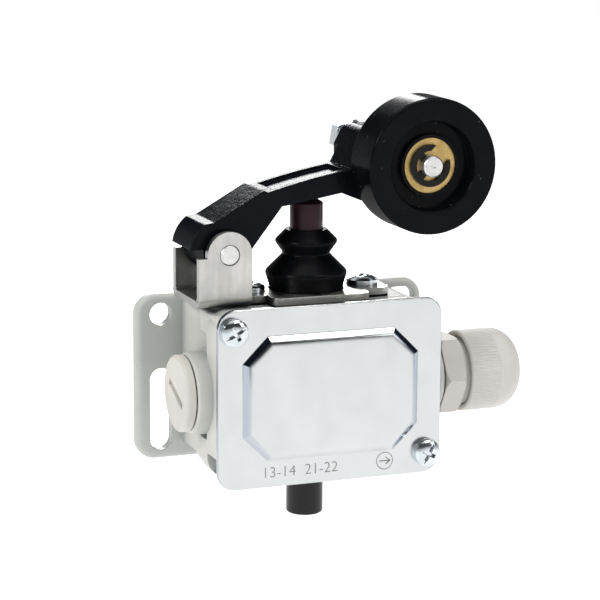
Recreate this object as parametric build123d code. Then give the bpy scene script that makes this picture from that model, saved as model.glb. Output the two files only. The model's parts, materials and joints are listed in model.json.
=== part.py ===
"""Limit switch with a roller lever, a blanking plug, a cable gland and a reset button.

Millimetres. X runs along the box towards the cable gland, +Y points into the wall that the
switch is screwed to, and Z is up. The origin is the centre of the mounting flange's back face.
"""
import os
from math import cos, pi, radians, sin, sqrt, tan

from build123d import *

# ---- clearances ---------------------------------------------------------------------------
RUN = 0.05          # radial clearance of a running fit
SEAT = 0.03         # radial clearance of a piece seated in its own body
PASS = 0.2          # radial clearance of a screw through a plate
GAP = 0.3           # least distance between pieces that move past each other
OVER = 1.0          # how far a cutter runs past the surface it opens

# ---- overall sizes ---------------------------------------------------------------------------
DEPTH = 44.3        # wall face to the front of the cover
BODY_W = 64.0
TOP_Z = 26.1
BOTTOM_Z = -23.9

# ---- mounting flange ------------------------------------------------------------------------
FLANGE_W = BODY_W + 29.2
FLANGE_H = TOP_Z - BOTTOM_Z + 0.8
FLANGE_T = 3.5
FLANGE_R = 6.0
FLANGE_EDGE = 1.8
HOLE_X = FLANGE_W / 2 - 7.6
HOLE_R = 3.5
HOLE_Z = FLANGE_H / 2 - 6.0
SLOT_LENGTH = 25.5
SLOT_Z = -FLANGE_H / 2 + 15.5
OBLONG_LENGTH = 10.0

# ---- housing ----------------------------------------------------------------------------------
COVER_T = 1.5
GASKET_T = 1.0
WALL = 3.0
TOP_WALL = 3.5
BACK_WALL = 6.5
BODY_R = 4.0
RIM_W = BODY_W + 5.0
RIM_R = 6.0
RIM_D = 9.5
RIM_EDGE = 1.0
LOWER_RIM_D = 15.5  # the rim is deeper below the cable entries
LOWER_RIM_Z = -12.5
POCKET_Z = (-22.4, -16.4)
POCKET_D = 8.0
POCKET_W = 2.8
REAR_STEP = 3.5     # the underside steps up towards the wall
PILLAR_R = 4.5
PILLAR_L = 17.8
WINDOW_R = 8.0

COVER_FRONT = -DEPTH
GASKET_FRONT = COVER_FRONT + COVER_T
RIM_FRONT = GASKET_FRONT + GASKET_T
RIM_BACK = RIM_FRONT + RIM_D
CAVITY_HALF = BODY_W / 2 - WALL
CAVITY_TOP = TOP_Z - TOP_WALL
CAVITY_BOTTOM = BOTTOM_Z + WALL
SHALLOW_BOTTOM = CAVITY_BOTTOM + REAR_STEP
HOUSING_H = TOP_Z - BOTTOM_Z
HOUSING_Z = (TOP_Z + BOTTOM_Z) / 2

# ---- cover --------------------------------------------------------------------------------------
COVER_W = RIM_W + 1.0
COVER_H = HOUSING_H + 3.2
COVER_Z = HOUSING_Z + 0.1
COVER_R = 5.5
PANEL_W = COVER_W - 15.0    # raised octagon
PANEL_H = COVER_H - 16.0
PANEL_Z = COVER_Z - 0.2
PANEL_CUT = 7.7
PANEL_SLOPE = 3.0
PANEL_RISE = 1.5
COVER_SCREW_R = 2.0
COVER_SCREW_L = 14.0
COVER_HEAD_R = 4.0
COVER_HEAD_H = 2.2
SPRING_WASHER_T = 0.8
SCREW_PLACES = [
    (-COVER_W / 2 + 4.7, COVER_Z + COVER_H / 2 - 6.3),
    (COVER_W / 2 - 4.7, COVER_Z - COVER_H / 2 + 6.3),
]

# ---- cable entries (M20) ---------------------------------------------------------------------
ENTRY_R = 10.0
ENTRY_Y = COVER_FRONT + 17.0
ENTRY_Z = 0.6
BOSS_ROOT_R = 13.0
BOSS_R = 11.8
BOSS_END = BODY_W / 2 + 7.0
SEAL_T = 0.4
SEAL_W = 0.7
PLUG_R = 11.3
PLUG_T = 2.7
PLUG_EDGE = 0.9
PLUG_WALL = 2.0
COIN_SLOT_L = 13.0
COIN_SLOT_W = 2.0
COIN_SLOT_D = 1.5
COIN_SLOT_TURN = 24.0
GLAND_AF = 22.3
GLAND_HEX_END = BOSS_END + 7.6
GLAND_COLLAR_T = 0.6
GLAND_GAP = 0.9     # thread left to tighten
GLAND_NUT_R = 12.4
GLAND_DOME_R = 7.5
GLAND_MOUTH_R = 6.8
GLAND_LENGTH = BOSS_END + 27.8
GLAND_STUB_R = 10.2
GLAND_STUB_L = 9.4
GLAND_BORE_R = 8.0
SLEEVE_R = 6.3
SLEEVE_L = 16.4
CAGE_L = 11.2
CAGE_SLOT_W = 0.9
CABLE_R = 5.0

# ---- actuator column -----------------------------------------------------------------------------
COLUMN_Y = COVER_FRONT + 21.0
PLUNGER_R = 4.9
STEM_R = 3.2
PLUNGER_DOME_R = 7.6
PLUNGER_SHOULDER_Z = TOP_Z + 15.9
GUIDE_R = 8.0
GUIDE_TOP_Z = TOP_Z + 1.1
SPRING_WIRE = 0.9
BOOT_WALL = 1.2
BOOT_BASE_R = 11.0
BOOT_FOLDS = [(12.3, 7.9), (6.9, 13.3), (9.5, 17.1)]    # radius and height above the housing
BOOT_MOUTH = (6.2, 20.5)
BOOT_EDGE = 0.5
TRAVEL = 5.95

# ---- lever bracket ---------------------------------------------------------------------------------
SHEET = 2.1
BRACKET_GASKET_T = 0.7
PIN_X = -28.1
PIN_Z = TOP_Z + 16.0
PIN_R = 3.0
EAR_HEAD_R = PIN_R + 3.8
EAR_SPAN = 24.0     # over the outer faces of the two ears
EAR_LEFT = PIN_X - 9.4
EAR_RIGHT = PIN_X + EAR_HEAD_R
EAR_BEND = 2.6
SHOULDER_Z = PIN_Z - 0.7
PLATE_Z = TOP_Z + BRACKET_GASKET_T
PLATE_TOP = PLATE_Z + SHEET
EAR_FRONT = COLUMN_Y - EAR_SPAN / 2
EAR_BACK = COLUMN_Y + EAR_SPAN / 2
CENTRE_HALF = 15.2
CENTRE_DEPTH = 28.6
CENTRE_R = 2.4
TONGUE_END = 24.1
TONGUE_HALF = 8.0
TONGUE_R = 3.0
BRACKET_SCREW_X = 18.0
BRACKET_SCREW_R = 2.5
BRACKET_SCREW_L = 8.0
BRACKET_HEAD_R = 4.75
BRACKET_HEAD_H = 2.5

# ---- lever and roller ---------------------------------------------------------------------------
LEVER_FRONT = COLUMN_Y - 8.2
LEVER_BACK = COLUMN_Y + 8.8
HUB_BACK = COLUMN_Y + 12.3
BUSH_WALL = 1.5
BARREL_R = max(10.8, PIN_R + BUSH_WALL + 4.0)
BARREL_CUT = 1.4
LOWER_BARREL_R = max(6.8, PIN_R + BUSH_WALL + 1.5)
LEVER_CONTACT_Z = PIN_Z + 14.5
CONTACT_SLOPE = 9.64
DECK_HALF = 6.2
DECK_DEPTH = 1.0
ROLLER_R = 20.0
ROLLER_X = 30.4
ROLLER_Z = LEVER_CONTACT_Z + 10.1
ROLLER_W = 15.0
ROLLER_EDGE = 0.9
ROLLER_RECESS_R = 13.2
ROLLER_RECESS = 4.2
AXLE_R = 3.1
AXLE_END = 7.2
ROLLER_BUSH_R = AXLE_R + 5.0
ROLLER_BUSH_STEP = 3.2
HUB_R = 10.1
CLAMP_X = ROLLER_X - 10.4
CLAMP_Z = ROLLER_Z + 4.2
ARM_PEAK_X = PIN_X + 11.7
ARM_PEAK_RISE = 3.1
DECK_START_X = PIN_X + 13.1
DECK_START_RISE = 2.6
DECK_MID_X = PIN_X + 26.1
DECK_MID_RISE = 5.9
DECK_END_X = CLAMP_X - 9.2
DECK_END_RISE = 8.3
PAD_LEFT = -8.1
PAD_RIGHT = 7.8
UNDERSIDE_END = ROLLER_X - 14.1
UNDERSIDE_DROP = 1.5
NOTCH_BACK = 3.5
CLAMP_R = 3.0
NUT_AF = 10.4
NUT_T = 4.8
WASHER_T = 1.3
CLIP_T = 0.8
CLIP_GROOVE = 0.6
CHAMFER = 0.4
ROLLER_FRONT = LEVER_FRONT - 0.4 - ROLLER_W
BUSH_FACE = ROLLER_FRONT + ROLLER_BUSH_STEP

# ---- reset button ----------------------------------------------------------------------------------
BUTTON_R = 5.55
BUTTON_STEM_R = 3.0
BUTTON_END_Z = BOTTOM_Z - 16.3
BUTTON_HEAD_TOP = BUTTON_END_Z + 10.7
BUTTON_WIRE = 0.7
BUTTON_CLIP_R = 5.0
COLLAR_R = BUTTON_R + 3.45
COLLAR_Z = BOTTOM_Z - 3.6
GUIDE_BORE_TOP = BUTTON_HEAD_TOP + 8.0
RESET_GUIDE_TOP = GUIDE_BORE_TOP + 1.9
RESET_GUIDE_R = BUTTON_R + 2.45

# ---- contact block ---------------------------------------------------------------------------------
CASE_HALF = 18.5
CASE_FRONT = RIM_FRONT + 6.6
CASE_TOP = TOP_Z - 8.1
CASE_BOTTOM = BOTTOM_Z + 9.9
CASE_WALL = 2.0
CHAMBER_HALF = 11.0
CHAMBER_Y = 8.0
CARRIER_X = 7.0
CARRIER_Y = 6.0
CARRIER_TOP = CASE_TOP + 0.6
CONTACT_T = 0.8
CONTACT_GAP = 0.3
CONTACT_X = 8.0
STRIP_HALF = 2.5
RIVET_R = 1.5
BRIDGE_HALF = 10.0
NO_BRIDGE_Z = CASE_TOP - 6.4
NC_BRIDGE_Z = CASE_BOTTOM + 9.6
TAB_H = 6.2
TERMINAL_HALF = 2.6
TERMINAL_X = CASE_HALF - 1.0 - TERMINAL_HALF
TERMINAL_R = 1.65
TERMINAL_HEAD_R = 2.9
TERMINAL_HEAD_H = 2.0
CLAMP_PLATE_T = 0.9
TERMINALS = {"13": (-1, True), "14": (1, True), "21": (-1, False), "22": (1, False)}
BLOCK_SCREW_R = 1.5
BLOCK_SCREW_INSET = 3.5
EARTH_R = 1.75
EARTH_X = -CAVITY_HALF + 7.0
EARTH_Z = BOTTOM_Z + 6.2
EARTH_FACE = COLUMN_Y - 12.7


# ---- plain shapes ----------------------------------------------------------------------------
def block(x0, x1, y0, y1, z0, z1):
    """Box between six planes."""
    centre = ((x0 + x1) / 2, (y0 + y1) / 2, (z0 + z1) / 2)
    return Pos(*centre) * Box(abs(x1 - x0), abs(y1 - y0), abs(z1 - z0))


def rod_x(radius, x0, x1, y=ENTRY_Y, z=ENTRY_Z):
    """Cylinder along X."""
    return Pos((x0 + x1) / 2, y, z) * Rot(0, 90, 0) * Cylinder(radius, abs(x1 - x0))


def rod_y(radius, y0, y1, x, z):
    """Cylinder along Y."""
    return Pos(x, (y0 + y1) / 2, z) * Rot(90, 0, 0) * Cylinder(radius, abs(y1 - y0))


def rod_z(radius, z0, z1, x=0, y=COLUMN_Y):
    """Cylinder along Z."""
    return Pos(x, y, (z0 + z1) / 2) * Cylinder(radius, abs(z1 - z0))


def slab_y(sketch, y0, y1):
    """Extrude a sketch drawn in X and Z from y0 to y1."""
    plane = Plane(origin=(0, y1, 0), x_dir=(1, 0, 0), z_dir=(0, -1, 0))
    return extrude(plane * sketch, abs(y1 - y0))


def slab_z(sketch, z0, z1):
    """Extrude a sketch drawn in X and Y from z0 to z1."""
    return extrude(Plane.XY.offset(z0) * sketch, z1 - z0)


def rounded(width, height, radius, x=0, z=0):
    """Rounded rectangle centred on x, z."""
    return Pos(x, z) * RectangleRounded(width, height, radius)


def slot(x, z, length, radius, upright):
    """Oblong hole outline, end to end length."""
    return Pos(x, z) * Rot(0, 0, 90 if upright else 0) * SlotOverall(length, 2 * radius)


def turned_y(points, x, z):
    """Solid turned about the line through x, z along Y from (radius, y) points."""
    face = make_face(Polyline(*[(r, y) for r, y in points], close=True))
    return Pos(x, 0, z) * revolve(face, Axis.Y)


def turned_z(face, x=0, y=COLUMN_Y):
    """Solid turned about the upright line through x, y from a face of radius and height."""
    return Pos(x, y, 0) * revolve(Plane.XZ * face, Axis.Z)


def turned_x(points, y=ENTRY_Y, z=ENTRY_Z):
    """Solid turned about the line through y, z along X from (x, radius) points."""
    face = make_face(Polyline(*points, close=True))
    return Pos(0, y, z) * revolve(face, Axis.X)


def hexagon_y(flats, y0, y1, x, z, turn=0):
    """Hexagonal prism along Y."""
    outline = Rot(0, 0, turn) * RegularPolygon(flats / 2, 6, major_radius=False)
    return slab_y(Pos(x, z) * outline, y0, y1)


def coil(mean_r, wire, z0, z1, turns):
    """Round wire spring standing between two planes."""
    height = z1 - z0 - wire
    path = Helix(height / turns, height, mean_r)
    start = Plane(origin=path @ 0, z_dir=path % 0)
    wire_solid = sweep(start * Circle(wire / 2), path=path, is_frenet=True)
    return Pos(0, COLUMN_Y, z0 + wire / 2) * wire_solid


def pan_head(radius, height):
    """Pan head standing on Z=0: a straight side and a low dome."""
    side = height * 0.6
    outline = Polyline((0, height), (0, 0), (radius, 0), (radius, side))
    crown = ThreePointArc((radius, side), (radius * 0.75, height - side * 0.2), (0, height))
    return revolve(Plane.XZ * make_face(outline + crown), Axis.Z)


def cross_recess(radius, depth, top):
    """Cross and slot cut for a combination screw head."""
    arm = Box(radius * 1.1, radius * 0.28, depth * 2)
    groove = Box(radius * 2.2, radius * 0.2, depth)
    cross = arm + Rot(0, 0, 90) * arm
    return Pos(0, 0, top) * (cross + groove)


def screw(shank_r, length, head_r, head_h):
    """Pan screw on Z with a cross and a slot, the head's underside at Z=0."""
    body = pan_head(head_r, head_h) + Pos(0, 0, -length / 2) * Cylinder(shank_r, length)
    return body - cross_recess(head_r, head_h * 0.55, head_h)


# ---- housing and cover --------------------------------------------------------------------------
def housing():
    """Die-cast box with its mounting flange, entries and bosses."""
    rim = slab_y(rounded(RIM_W, HOUSING_H, RIM_R, 0, HOUSING_Z), RIM_FRONT, RIM_BACK)
    rim = fillet(rim.edges().group_by(Axis.Y)[-1], RIM_EDGE)
    low = slab_y(rounded(RIM_W, HOUSING_H, RIM_R, 0, HOUSING_Z), RIM_FRONT, RIM_FRONT + LOWER_RIM_D)
    low = fillet(low.edges().group_by(Axis.Y)[-1], RIM_EDGE)
    low &= block(-RIM_W, RIM_W, RIM_FRONT, 0, BOTTOM_Z - OVER, LOWER_RIM_Z)
    box = rim + low
    box += slab_y(rounded(BODY_W, HOUSING_H, BODY_R, 0, HOUSING_Z), RIM_BACK, -FLANGE_T)
    box -= block(-FLANGE_W, FLANGE_W, rear_step_y(), 0, BOTTOM_Z - OVER, BOTTOM_Z + REAR_STEP)
    plate = slab_y(rounded(FLANGE_W, FLANGE_H, FLANGE_R), -FLANGE_T, 0)
    box += fillet(plate.edges().group_by(Axis.Y)[0], FLANGE_EDGE)
    for side in (-1, 1):
        box += entry_boss(side)
    box -= cavity()
    box += bosses()
    box -= rim_pocket()
    box -= rod_x(ENTRY_R, -BOSS_END - OVER, BOSS_END + OVER)
    box -= rod_z(GUIDE_R, CAVITY_TOP - OVER, TOP_Z + OVER)
    box -= rod_z(RESET_GUIDE_R, BOTTOM_Z - OVER, SHALLOW_BOTTOM + OVER)
    for hole in fixing_holes():
        box -= hole
    for hole in tapped_holes():
        box -= hole
    return box


def rear_step_y():
    """Where the underside steps up, behind the reset guide."""
    return COLUMN_Y + RESET_GUIDE_R - 0.7


def entry_boss(side):
    """Drafted boss around a cable entry."""
    inner = side * (CAVITY_HALF + OVER)
    root = side * (BODY_W / 2)
    end = side * BOSS_END
    edge = side * 0.6
    points = [(inner, 0), (inner, BOSS_ROOT_R), (root, BOSS_ROOT_R), (root + 2 * edge, BOSS_R + 0.4),
              (end - edge, BOSS_R), (end, BOSS_R - 0.6), (end, 0)]
    return turned_x(points)


def cavity():
    """Space inside the housing, open at the front."""
    front = RIM_FRONT - OVER
    step_y = rear_step_y() - WALL
    room = block(-CAVITY_HALF, CAVITY_HALF, front, -BACK_WALL, SHALLOW_BOTTOM, CAVITY_TOP)
    return room + block(-CAVITY_HALF, CAVITY_HALF, front, step_y, CAVITY_BOTTOM, CAVITY_TOP)


def bosses():
    """Pillars for the cover screws, the bracket screws and the earth screw."""
    pillar_back = RIM_FRONT + PILLAR_L
    solid = None
    for x, z in SCREW_PLACES:
        pillar = rod_y(PILLAR_R, RIM_FRONT, pillar_back, x, z)
        solid = pillar if solid is None else solid + pillar
    half = RIM_W / 2 - OVER
    solid &= block(-half, half, RIM_FRONT, pillar_back, BOTTOM_Z + OVER, TOP_Z - OVER)
    for x in (-BRACKET_SCREW_X, BRACKET_SCREW_X):
        solid += rod_z(PILLAR_R, CAVITY_TOP - 3, CAVITY_TOP + OVER, x)
    lug = block(EARTH_X - 4, EARTH_X + 4, EARTH_FACE, EARTH_FACE + 8, CAVITY_BOTTOM - 0.5, CASE_BOTTOM - 0.5)
    return solid + lug


def rim_pocket():
    """Drain pocket in the lower left end of the rim."""
    left = -RIM_W / 2
    return block(left - OVER, left + POCKET_W, RIM_FRONT - OVER, RIM_FRONT + POCKET_D, *POCKET_Z)


def fixing_holes():
    """Round hole, two upright slots and one oblong hole through the flange."""
    outlines = [
        Pos(-HOLE_X, HOLE_Z) * Circle(HOLE_R),
        slot(HOLE_X, HOLE_Z, OBLONG_LENGTH, HOLE_R, False),
        slot(-HOLE_X, SLOT_Z, SLOT_LENGTH, HOLE_R, True),
        slot(HOLE_X, SLOT_Z, SLOT_LENGTH, HOLE_R, True),
    ]
    return [slab_y(outline, -FLANGE_T - OVER, OVER) for outline in outlines]


def tapped_holes():
    """Screw holes in the housing."""
    depth = COVER_FRONT + COVER_SCREW_L + OVER
    holes = [rod_y(COVER_SCREW_R + SEAT, RIM_FRONT - OVER, depth, x, z) for x, z in SCREW_PLACES]
    for x in (-BRACKET_SCREW_X, BRACKET_SCREW_X):
        holes.append(rod_z(BRACKET_SCREW_R + SEAT, CAVITY_TOP - 4, TOP_Z + OVER, x))
    for x, z in block_screw_places():
        holes.append(rod_y(BLOCK_SCREW_R + SEAT, -BACK_WALL - OVER, -BACK_WALL + 4, x, z))
    holes.append(rod_y(EARTH_R + SEAT, EARTH_FACE - OVER, EARTH_FACE + 7, EARTH_X, EARTH_Z))
    return holes


def block_screw_places():
    """Two opposite corners of the contact block."""
    across = CASE_HALF - BLOCK_SCREW_INSET
    return [(-across, CASE_TOP - BLOCK_SCREW_INSET), (across, CASE_BOTTOM + BLOCK_SCREW_INSET)]


def octagon(inset):
    """Outline of the cover's raised panel, moved inwards by inset."""
    half_w = PANEL_W / 2 - inset
    half_h = PANEL_H / 2 - inset
    cut = PANEL_CUT - inset * (2 - sqrt(2))
    points = []
    for sx, sz in ((1, 1), (-1, 1), (-1, -1), (1, -1)):
        first = (sx * half_w, sz * (half_h - cut))
        second = (sx * (half_w - cut), sz * half_h)
        points += [first, second] if sx * sz > 0 else [second, first]
    return Pos(0, PANEL_Z) * make_face(Polyline(*points, close=True))


def octagon_frustum(front, back, inset_front, inset_back):
    """Tapered octagonal block between two planes."""
    def on_plane(y, inset):
        plane = Plane(origin=(0, y, 0), x_dir=(1, 0, 0), z_dir=(0, -1, 0))
        return plane * octagon(inset)
    return loft([on_plane(back, inset_back), on_plane(front, inset_front)], ruled=True)


def cover():
    """Pressed steel cover with a raised octagonal panel."""
    sheet = slab_y(rounded(COVER_W, COVER_H, COVER_R, 0, COVER_Z), COVER_FRONT, GASKET_FRONT)
    front = COVER_FRONT - PANEL_RISE
    sheet += octagon_frustum(front, COVER_FRONT + COVER_T / 3, PANEL_SLOPE, -1.0)
    sheet -= octagon_frustum(front + COVER_T, GASKET_FRONT + COVER_T / 3, PANEL_SLOPE + 1, 0.5)
    for x, z in SCREW_PLACES:
        sheet -= rod_y(COVER_SCREW_R + PASS, front - OVER, GASKET_FRONT + OVER, x, z)
    return sheet


def cover_gasket():
    """Flat gasket between cover and housing."""
    outline = rounded(RIM_W - 0.6, HOUSING_H - 0.6, RIM_R - GAP, 0, HOUSING_Z)
    window_z = (CAVITY_TOP + CAVITY_BOTTOM) / 2
    window = rounded(2 * CAVITY_HALF, CAVITY_TOP - CAVITY_BOTTOM, WINDOW_R, 0, window_z)
    ring = slab_y(outline, GASKET_FRONT, RIM_FRONT) - slab_y(window, GASKET_FRONT - OVER, RIM_FRONT + OVER)
    for x, z in SCREW_PLACES:
        ring -= rod_y(COVER_SCREW_R + PASS, GASKET_FRONT - OVER, RIM_FRONT + OVER, x, z)
    return ring


def facing_front(solid, x, y, z, turn=0):
    """Put a piece that stands on Z=0 on a plane y, its top towards the front."""
    return Pos(x, y, z) * Rot(90, 0, 0) * Rot(0, 0, turn) * solid


def cover_washers():
    """Spring washers under the cover screws."""
    face = COVER_FRONT - SPRING_WASHER_T
    rings = []
    for x, z in SCREW_PLACES:
        rings.append(plain_washer(COVER_SCREW_R + PASS, COVER_HEAD_R + 0.2, face, SPRING_WASHER_T, x, z))
    return Compound(children=rings)


def cover_screws():
    """Combination pan screws, M4."""
    made = []
    for (x, z), turn in zip(SCREW_PLACES, (28, 62)):
        one = screw(COVER_SCREW_R, COVER_SCREW_L, COVER_HEAD_R, COVER_HEAD_H)
        made.append(facing_front(one, x, COVER_FRONT - SPRING_WASHER_T, z, turn))
    return Compound(children=made)


# ---- cable entries ------------------------------------------------------------------------------
def blanking_plug():
    """Screw-in plug with a coin slot."""
    inner = -BOSS_END - SEAL_T
    outer = inner - PLUG_T
    disc = rod_x(PLUG_R, outer, inner)
    disc = fillet(disc.edges().group_by(Axis.X)[0], PLUG_EDGE)
    stub_end = -CAVITY_HALF + 0.5
    disc += rod_x(ENTRY_R - SEAT, inner, stub_end)
    disc -= rod_x(ENTRY_R - PLUG_WALL, inner + 1.5, stub_end + OVER)
    groove = Rot(COIN_SLOT_TURN, 0, 0) * Box(2 * COIN_SLOT_D, COIN_SLOT_L, COIN_SLOT_W)
    return disc - Pos(outer, ENTRY_Y, ENTRY_Z) * groove


def face_seal(side):
    """O-ring between an entry boss and what is screwed into it."""
    start = side * BOSS_END
    end = side * (BOSS_END + SEAL_T)
    ring = rod_x(ENTRY_R + SEAL_W, start, end)
    return ring - rod_x(ENTRY_R + RUN, start - side * OVER, end + side * OVER)


def gland_body():
    """Threaded body of the cable gland with its hexagon."""
    hex_start = BOSS_END + SEAL_T
    outline = RegularPolygon(GLAND_AF / 2, 6, major_radius=False)
    plane = Plane(origin=(hex_start, ENTRY_Y, ENTRY_Z), x_dir=(0, 1, 0), z_dir=(1, 0, 0))
    mid = GLAND_HEX_END - GLAND_COLLAR_T
    hexagon = extrude(plane * outline, mid - hex_start)
    full = GLAND_AF / sqrt(3) + 0.1
    bevel = full - 1.3
    hexagon &= turned_x([(hex_start, 0), (hex_start, bevel), (hex_start + OVER, full),
                         (mid - OVER, full), (mid, bevel), (mid, 0)])
    solid = hexagon + rod_x(GLAND_AF / 2 - 0.4, mid - 0.1, GLAND_HEX_END)
    solid += rod_x(ENTRY_R - SEAT, CAVITY_HALF - 0.5, hex_start)
    solid += rod_x(GLAND_STUB_R, GLAND_HEX_END, GLAND_HEX_END + GLAND_STUB_L)
    return solid - rod_x(GLAND_BORE_R, CAVITY_HALF - 2, GLAND_HEX_END + GLAND_STUB_L + OVER)


def gland_cage():
    """Slotted clamping cage inside the gland nut."""
    start = GLAND_HEX_END + OVER
    end = start + CAGE_L
    slot_l = 6.0
    ring = rod_x(GLAND_BORE_R - RUN, start, end) - rod_x(SLEEVE_R + RUN, start - OVER, end + OVER)
    for count in range(4):
        cutter = Rot(count * 45, 0, 0) * Box(slot_l, 2 * GLAND_BORE_R + 2, CAGE_SLOT_W)
        ring -= Pos(end - slot_l / 2 + 0.1, ENTRY_Y, ENTRY_Z) * cutter
    return ring


def gland_seal():
    """Rubber sleeve that grips the cable."""
    end = GLAND_HEX_END + SLEEVE_L
    return rod_x(SLEEVE_R, GLAND_HEX_END, end) - rod_x(CABLE_R, GLAND_HEX_END - OVER, end + OVER)


def gland_nut():
    """Domed cap nut of the cable gland, turned from its half section."""
    start = GLAND_HEX_END + GLAND_GAP + GAP
    bore_r = GLAND_STUB_R + 0.1
    cone_l = 3.7
    cone_start = GLAND_LENGTH - 4.0 - cone_l
    dome_x = GLAND_LENGTH - GLAND_DOME_R
    dome_z = GLAND_NUT_R - GLAND_DOME_R
    reach = GLAND_DOME_R * cos(radians(45))
    shell = rod_x(GLAND_NUT_R, start, dome_x)
    shell = chamfer(shell.edges().group_by(Axis.X)[0], CHAMFER)
    profile = make_face(
        Polyline((dome_x, dome_z), (dome_x, 0), (GLAND_LENGTH, 0), (GLAND_LENGTH, dome_z))
        + ThreePointArc((GLAND_LENGTH, dome_z), (dome_x + reach, dome_z + reach), (dome_x, GLAND_NUT_R))
        + Line((dome_x, GLAND_NUT_R), (dome_x, dome_z)))
    shell += Pos(0, ENTRY_Y, ENTRY_Z) * revolve(profile, Axis.X)
    mouth = GLAND_LENGTH - OVER
    hollow = [(start - OVER, 0), (start - OVER, bore_r + OVER), (start, bore_r + OVER), (start + OVER, bore_r),
              (cone_start, bore_r), (cone_start + cone_l, GLAND_MOUTH_R), (mouth, GLAND_MOUTH_R),
              (mouth + 2 * OVER, GLAND_MOUTH_R + 2 * OVER), (mouth + 2 * OVER, 0)]
    return shell - turned_x(hollow)


# ---- lever bracket ------------------------------------------------------------------------------
def centre_and_tongue():
    """Outline of the bracket's base right of the ears, seen from above."""
    centre = Pos(0, COLUMN_Y) * RectangleRounded(2 * CENTRE_HALF, CENTRE_DEPTH, CENTRE_R)
    strip_w = TONGUE_END - EAR_RIGHT
    strip = RectangleRounded(strip_w, 2 * TONGUE_HALF, TONGUE_R)
    joint = Pos(-strip_w / 2 + TONGUE_R / 2, 0) * Rectangle(TONGUE_R, 2 * TONGUE_HALF)
    return centre + Pos((TONGUE_END + EAR_RIGHT) / 2, COLUMN_Y) * (strip + joint)


def ear_side():
    """Side view of one ear in X and Z."""
    head_left = PIN_X - EAR_HEAD_R
    return make_face(
        Polyline((EAR_RIGHT, PIN_Z), (EAR_RIGHT, PLATE_Z), (EAR_LEFT, PLATE_Z), (EAR_LEFT, SHOULDER_Z),
                 (head_left, SHOULDER_Z), (head_left, PIN_Z))
        + ThreePointArc((head_left, PIN_Z), (PIN_X, PIN_Z + EAR_HEAD_R), (EAR_RIGHT, PIN_Z)))


def lever_bracket():
    """One-piece bracket: a flat base with two upright ears for the hinge pin."""
    ear_w = EAR_RIGHT - EAR_LEFT
    foot = Pos((EAR_LEFT + EAR_RIGHT) / 2, COLUMN_Y) * Rectangle(ear_w + 0.2, EAR_SPAN)
    plate = slab_z(centre_and_tongue() + foot, PLATE_Z, PLATE_TOP)
    ears = slab_y(ear_side(), EAR_FRONT, EAR_FRONT + SHEET)
    ears += slab_y(ear_side(), EAR_BACK - SHEET, EAR_BACK)
    inside = SHEET * 1.3
    for side in (-1, 1):
        edge = COLUMN_Y + side * EAR_SPAN / 2
        inner = edge - side * EAR_BEND
        corner = block(EAR_LEFT - OVER, EAR_RIGHT + OVER, inner, edge + side, PLATE_Z - OVER, PLATE_Z + EAR_BEND)
        corner -= rod_x(EAR_BEND, EAR_LEFT - 2, EAR_RIGHT + 2, inner, PLATE_Z + EAR_BEND)
        plate = plate - corner
        ears = ears - corner
        root = block(EAR_LEFT, EAR_RIGHT, edge - side * inside, edge, PLATE_Z, PLATE_Z + inside)
        plate += root - corner
    solid = plate + ears
    solid -= rod_z(BOOT_BASE_R + GAP, PLATE_Z - OVER, PLATE_TOP + OVER)
    for x in (-BRACKET_SCREW_X, BRACKET_SCREW_X):
        solid -= rod_z(BRACKET_SCREW_R + PASS, PLATE_Z - OVER, PLATE_TOP + OVER, x)
    return solid - rod_y(PIN_R + SEAT, EAR_FRONT - OVER, EAR_BACK + OVER, PIN_X, PIN_Z)


def bracket_gasket():
    """Rubber gasket under the bracket's base."""
    sheet = slab_z(centre_and_tongue(), TOP_Z, PLATE_Z)
    sheet -= rod_z(BOOT_BASE_R + 2.8, TOP_Z - OVER, PLATE_Z + OVER)
    for x in (-BRACKET_SCREW_X, BRACKET_SCREW_X):
        sheet -= rod_z(BRACKET_SCREW_R + PASS, TOP_Z - OVER, PLATE_Z + OVER, x)
    return sheet


def bracket_screws():
    """Two pan screws that hold the bracket down."""
    made = []
    for x, turn in ((-BRACKET_SCREW_X, 15), (BRACKET_SCREW_X, -35)):
        one = screw(BRACKET_SCREW_R, BRACKET_SCREW_L, BRACKET_HEAD_R, BRACKET_HEAD_H)
        made.append(Pos(x, COLUMN_Y, PLATE_TOP) * Rot(0, 0, turn) * one)
    return Compound(children=made)


# ---- actuator column ------------------------------------------------------------------------------
def boot_profile(shrink):
    """Half section of the bellows, moved towards its inside by shrink."""
    points = [(BOOT_BASE_R - shrink, TOP_Z), (BOOT_BASE_R - shrink, PLATE_TOP + 0.4)]
    points += [(radius - shrink, TOP_Z + height) for radius, height in BOOT_FOLDS]
    points.append((BOOT_MOUTH[0] - shrink * 0.8, TOP_Z + BOOT_MOUTH[1]))
    return points


def boot():
    """Rubber bellows between bracket and plunger."""
    face = make_face(Polyline(*boot_profile(0.0), *reversed(boot_profile(BOOT_WALL)), close=True))
    solid = turned_z(face)
    foot = rod_z(BOOT_BASE_R + 2.5, TOP_Z, PLATE_Z)
    solid += foot - rod_z(BOOT_BASE_R - BOOT_WALL, TOP_Z - OVER, PLATE_Z + OVER)
    for _, height in BOOT_FOLDS:
        creases = [e for e in solid.edges() if abs(e.center().Z - TOP_Z - height) < BOOT_EDGE]
        solid = fillet(creases, BOOT_EDGE)
    return solid


def plunger_top():
    """Height of the rod's dome where it stands GAP short of the lever's sloping underside."""
    slope = radians(CONTACT_SLOPE)
    reach = (LEVER_CONTACT_Z - PIN_Z) * cos(slope) + PIN_X * sin(slope)
    centre = PIN_Z + (reach - PLUNGER_DOME_R - PIN_X * sin(slope)) / cos(slope)
    return centre + PLUNGER_DOME_R - GAP


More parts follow.
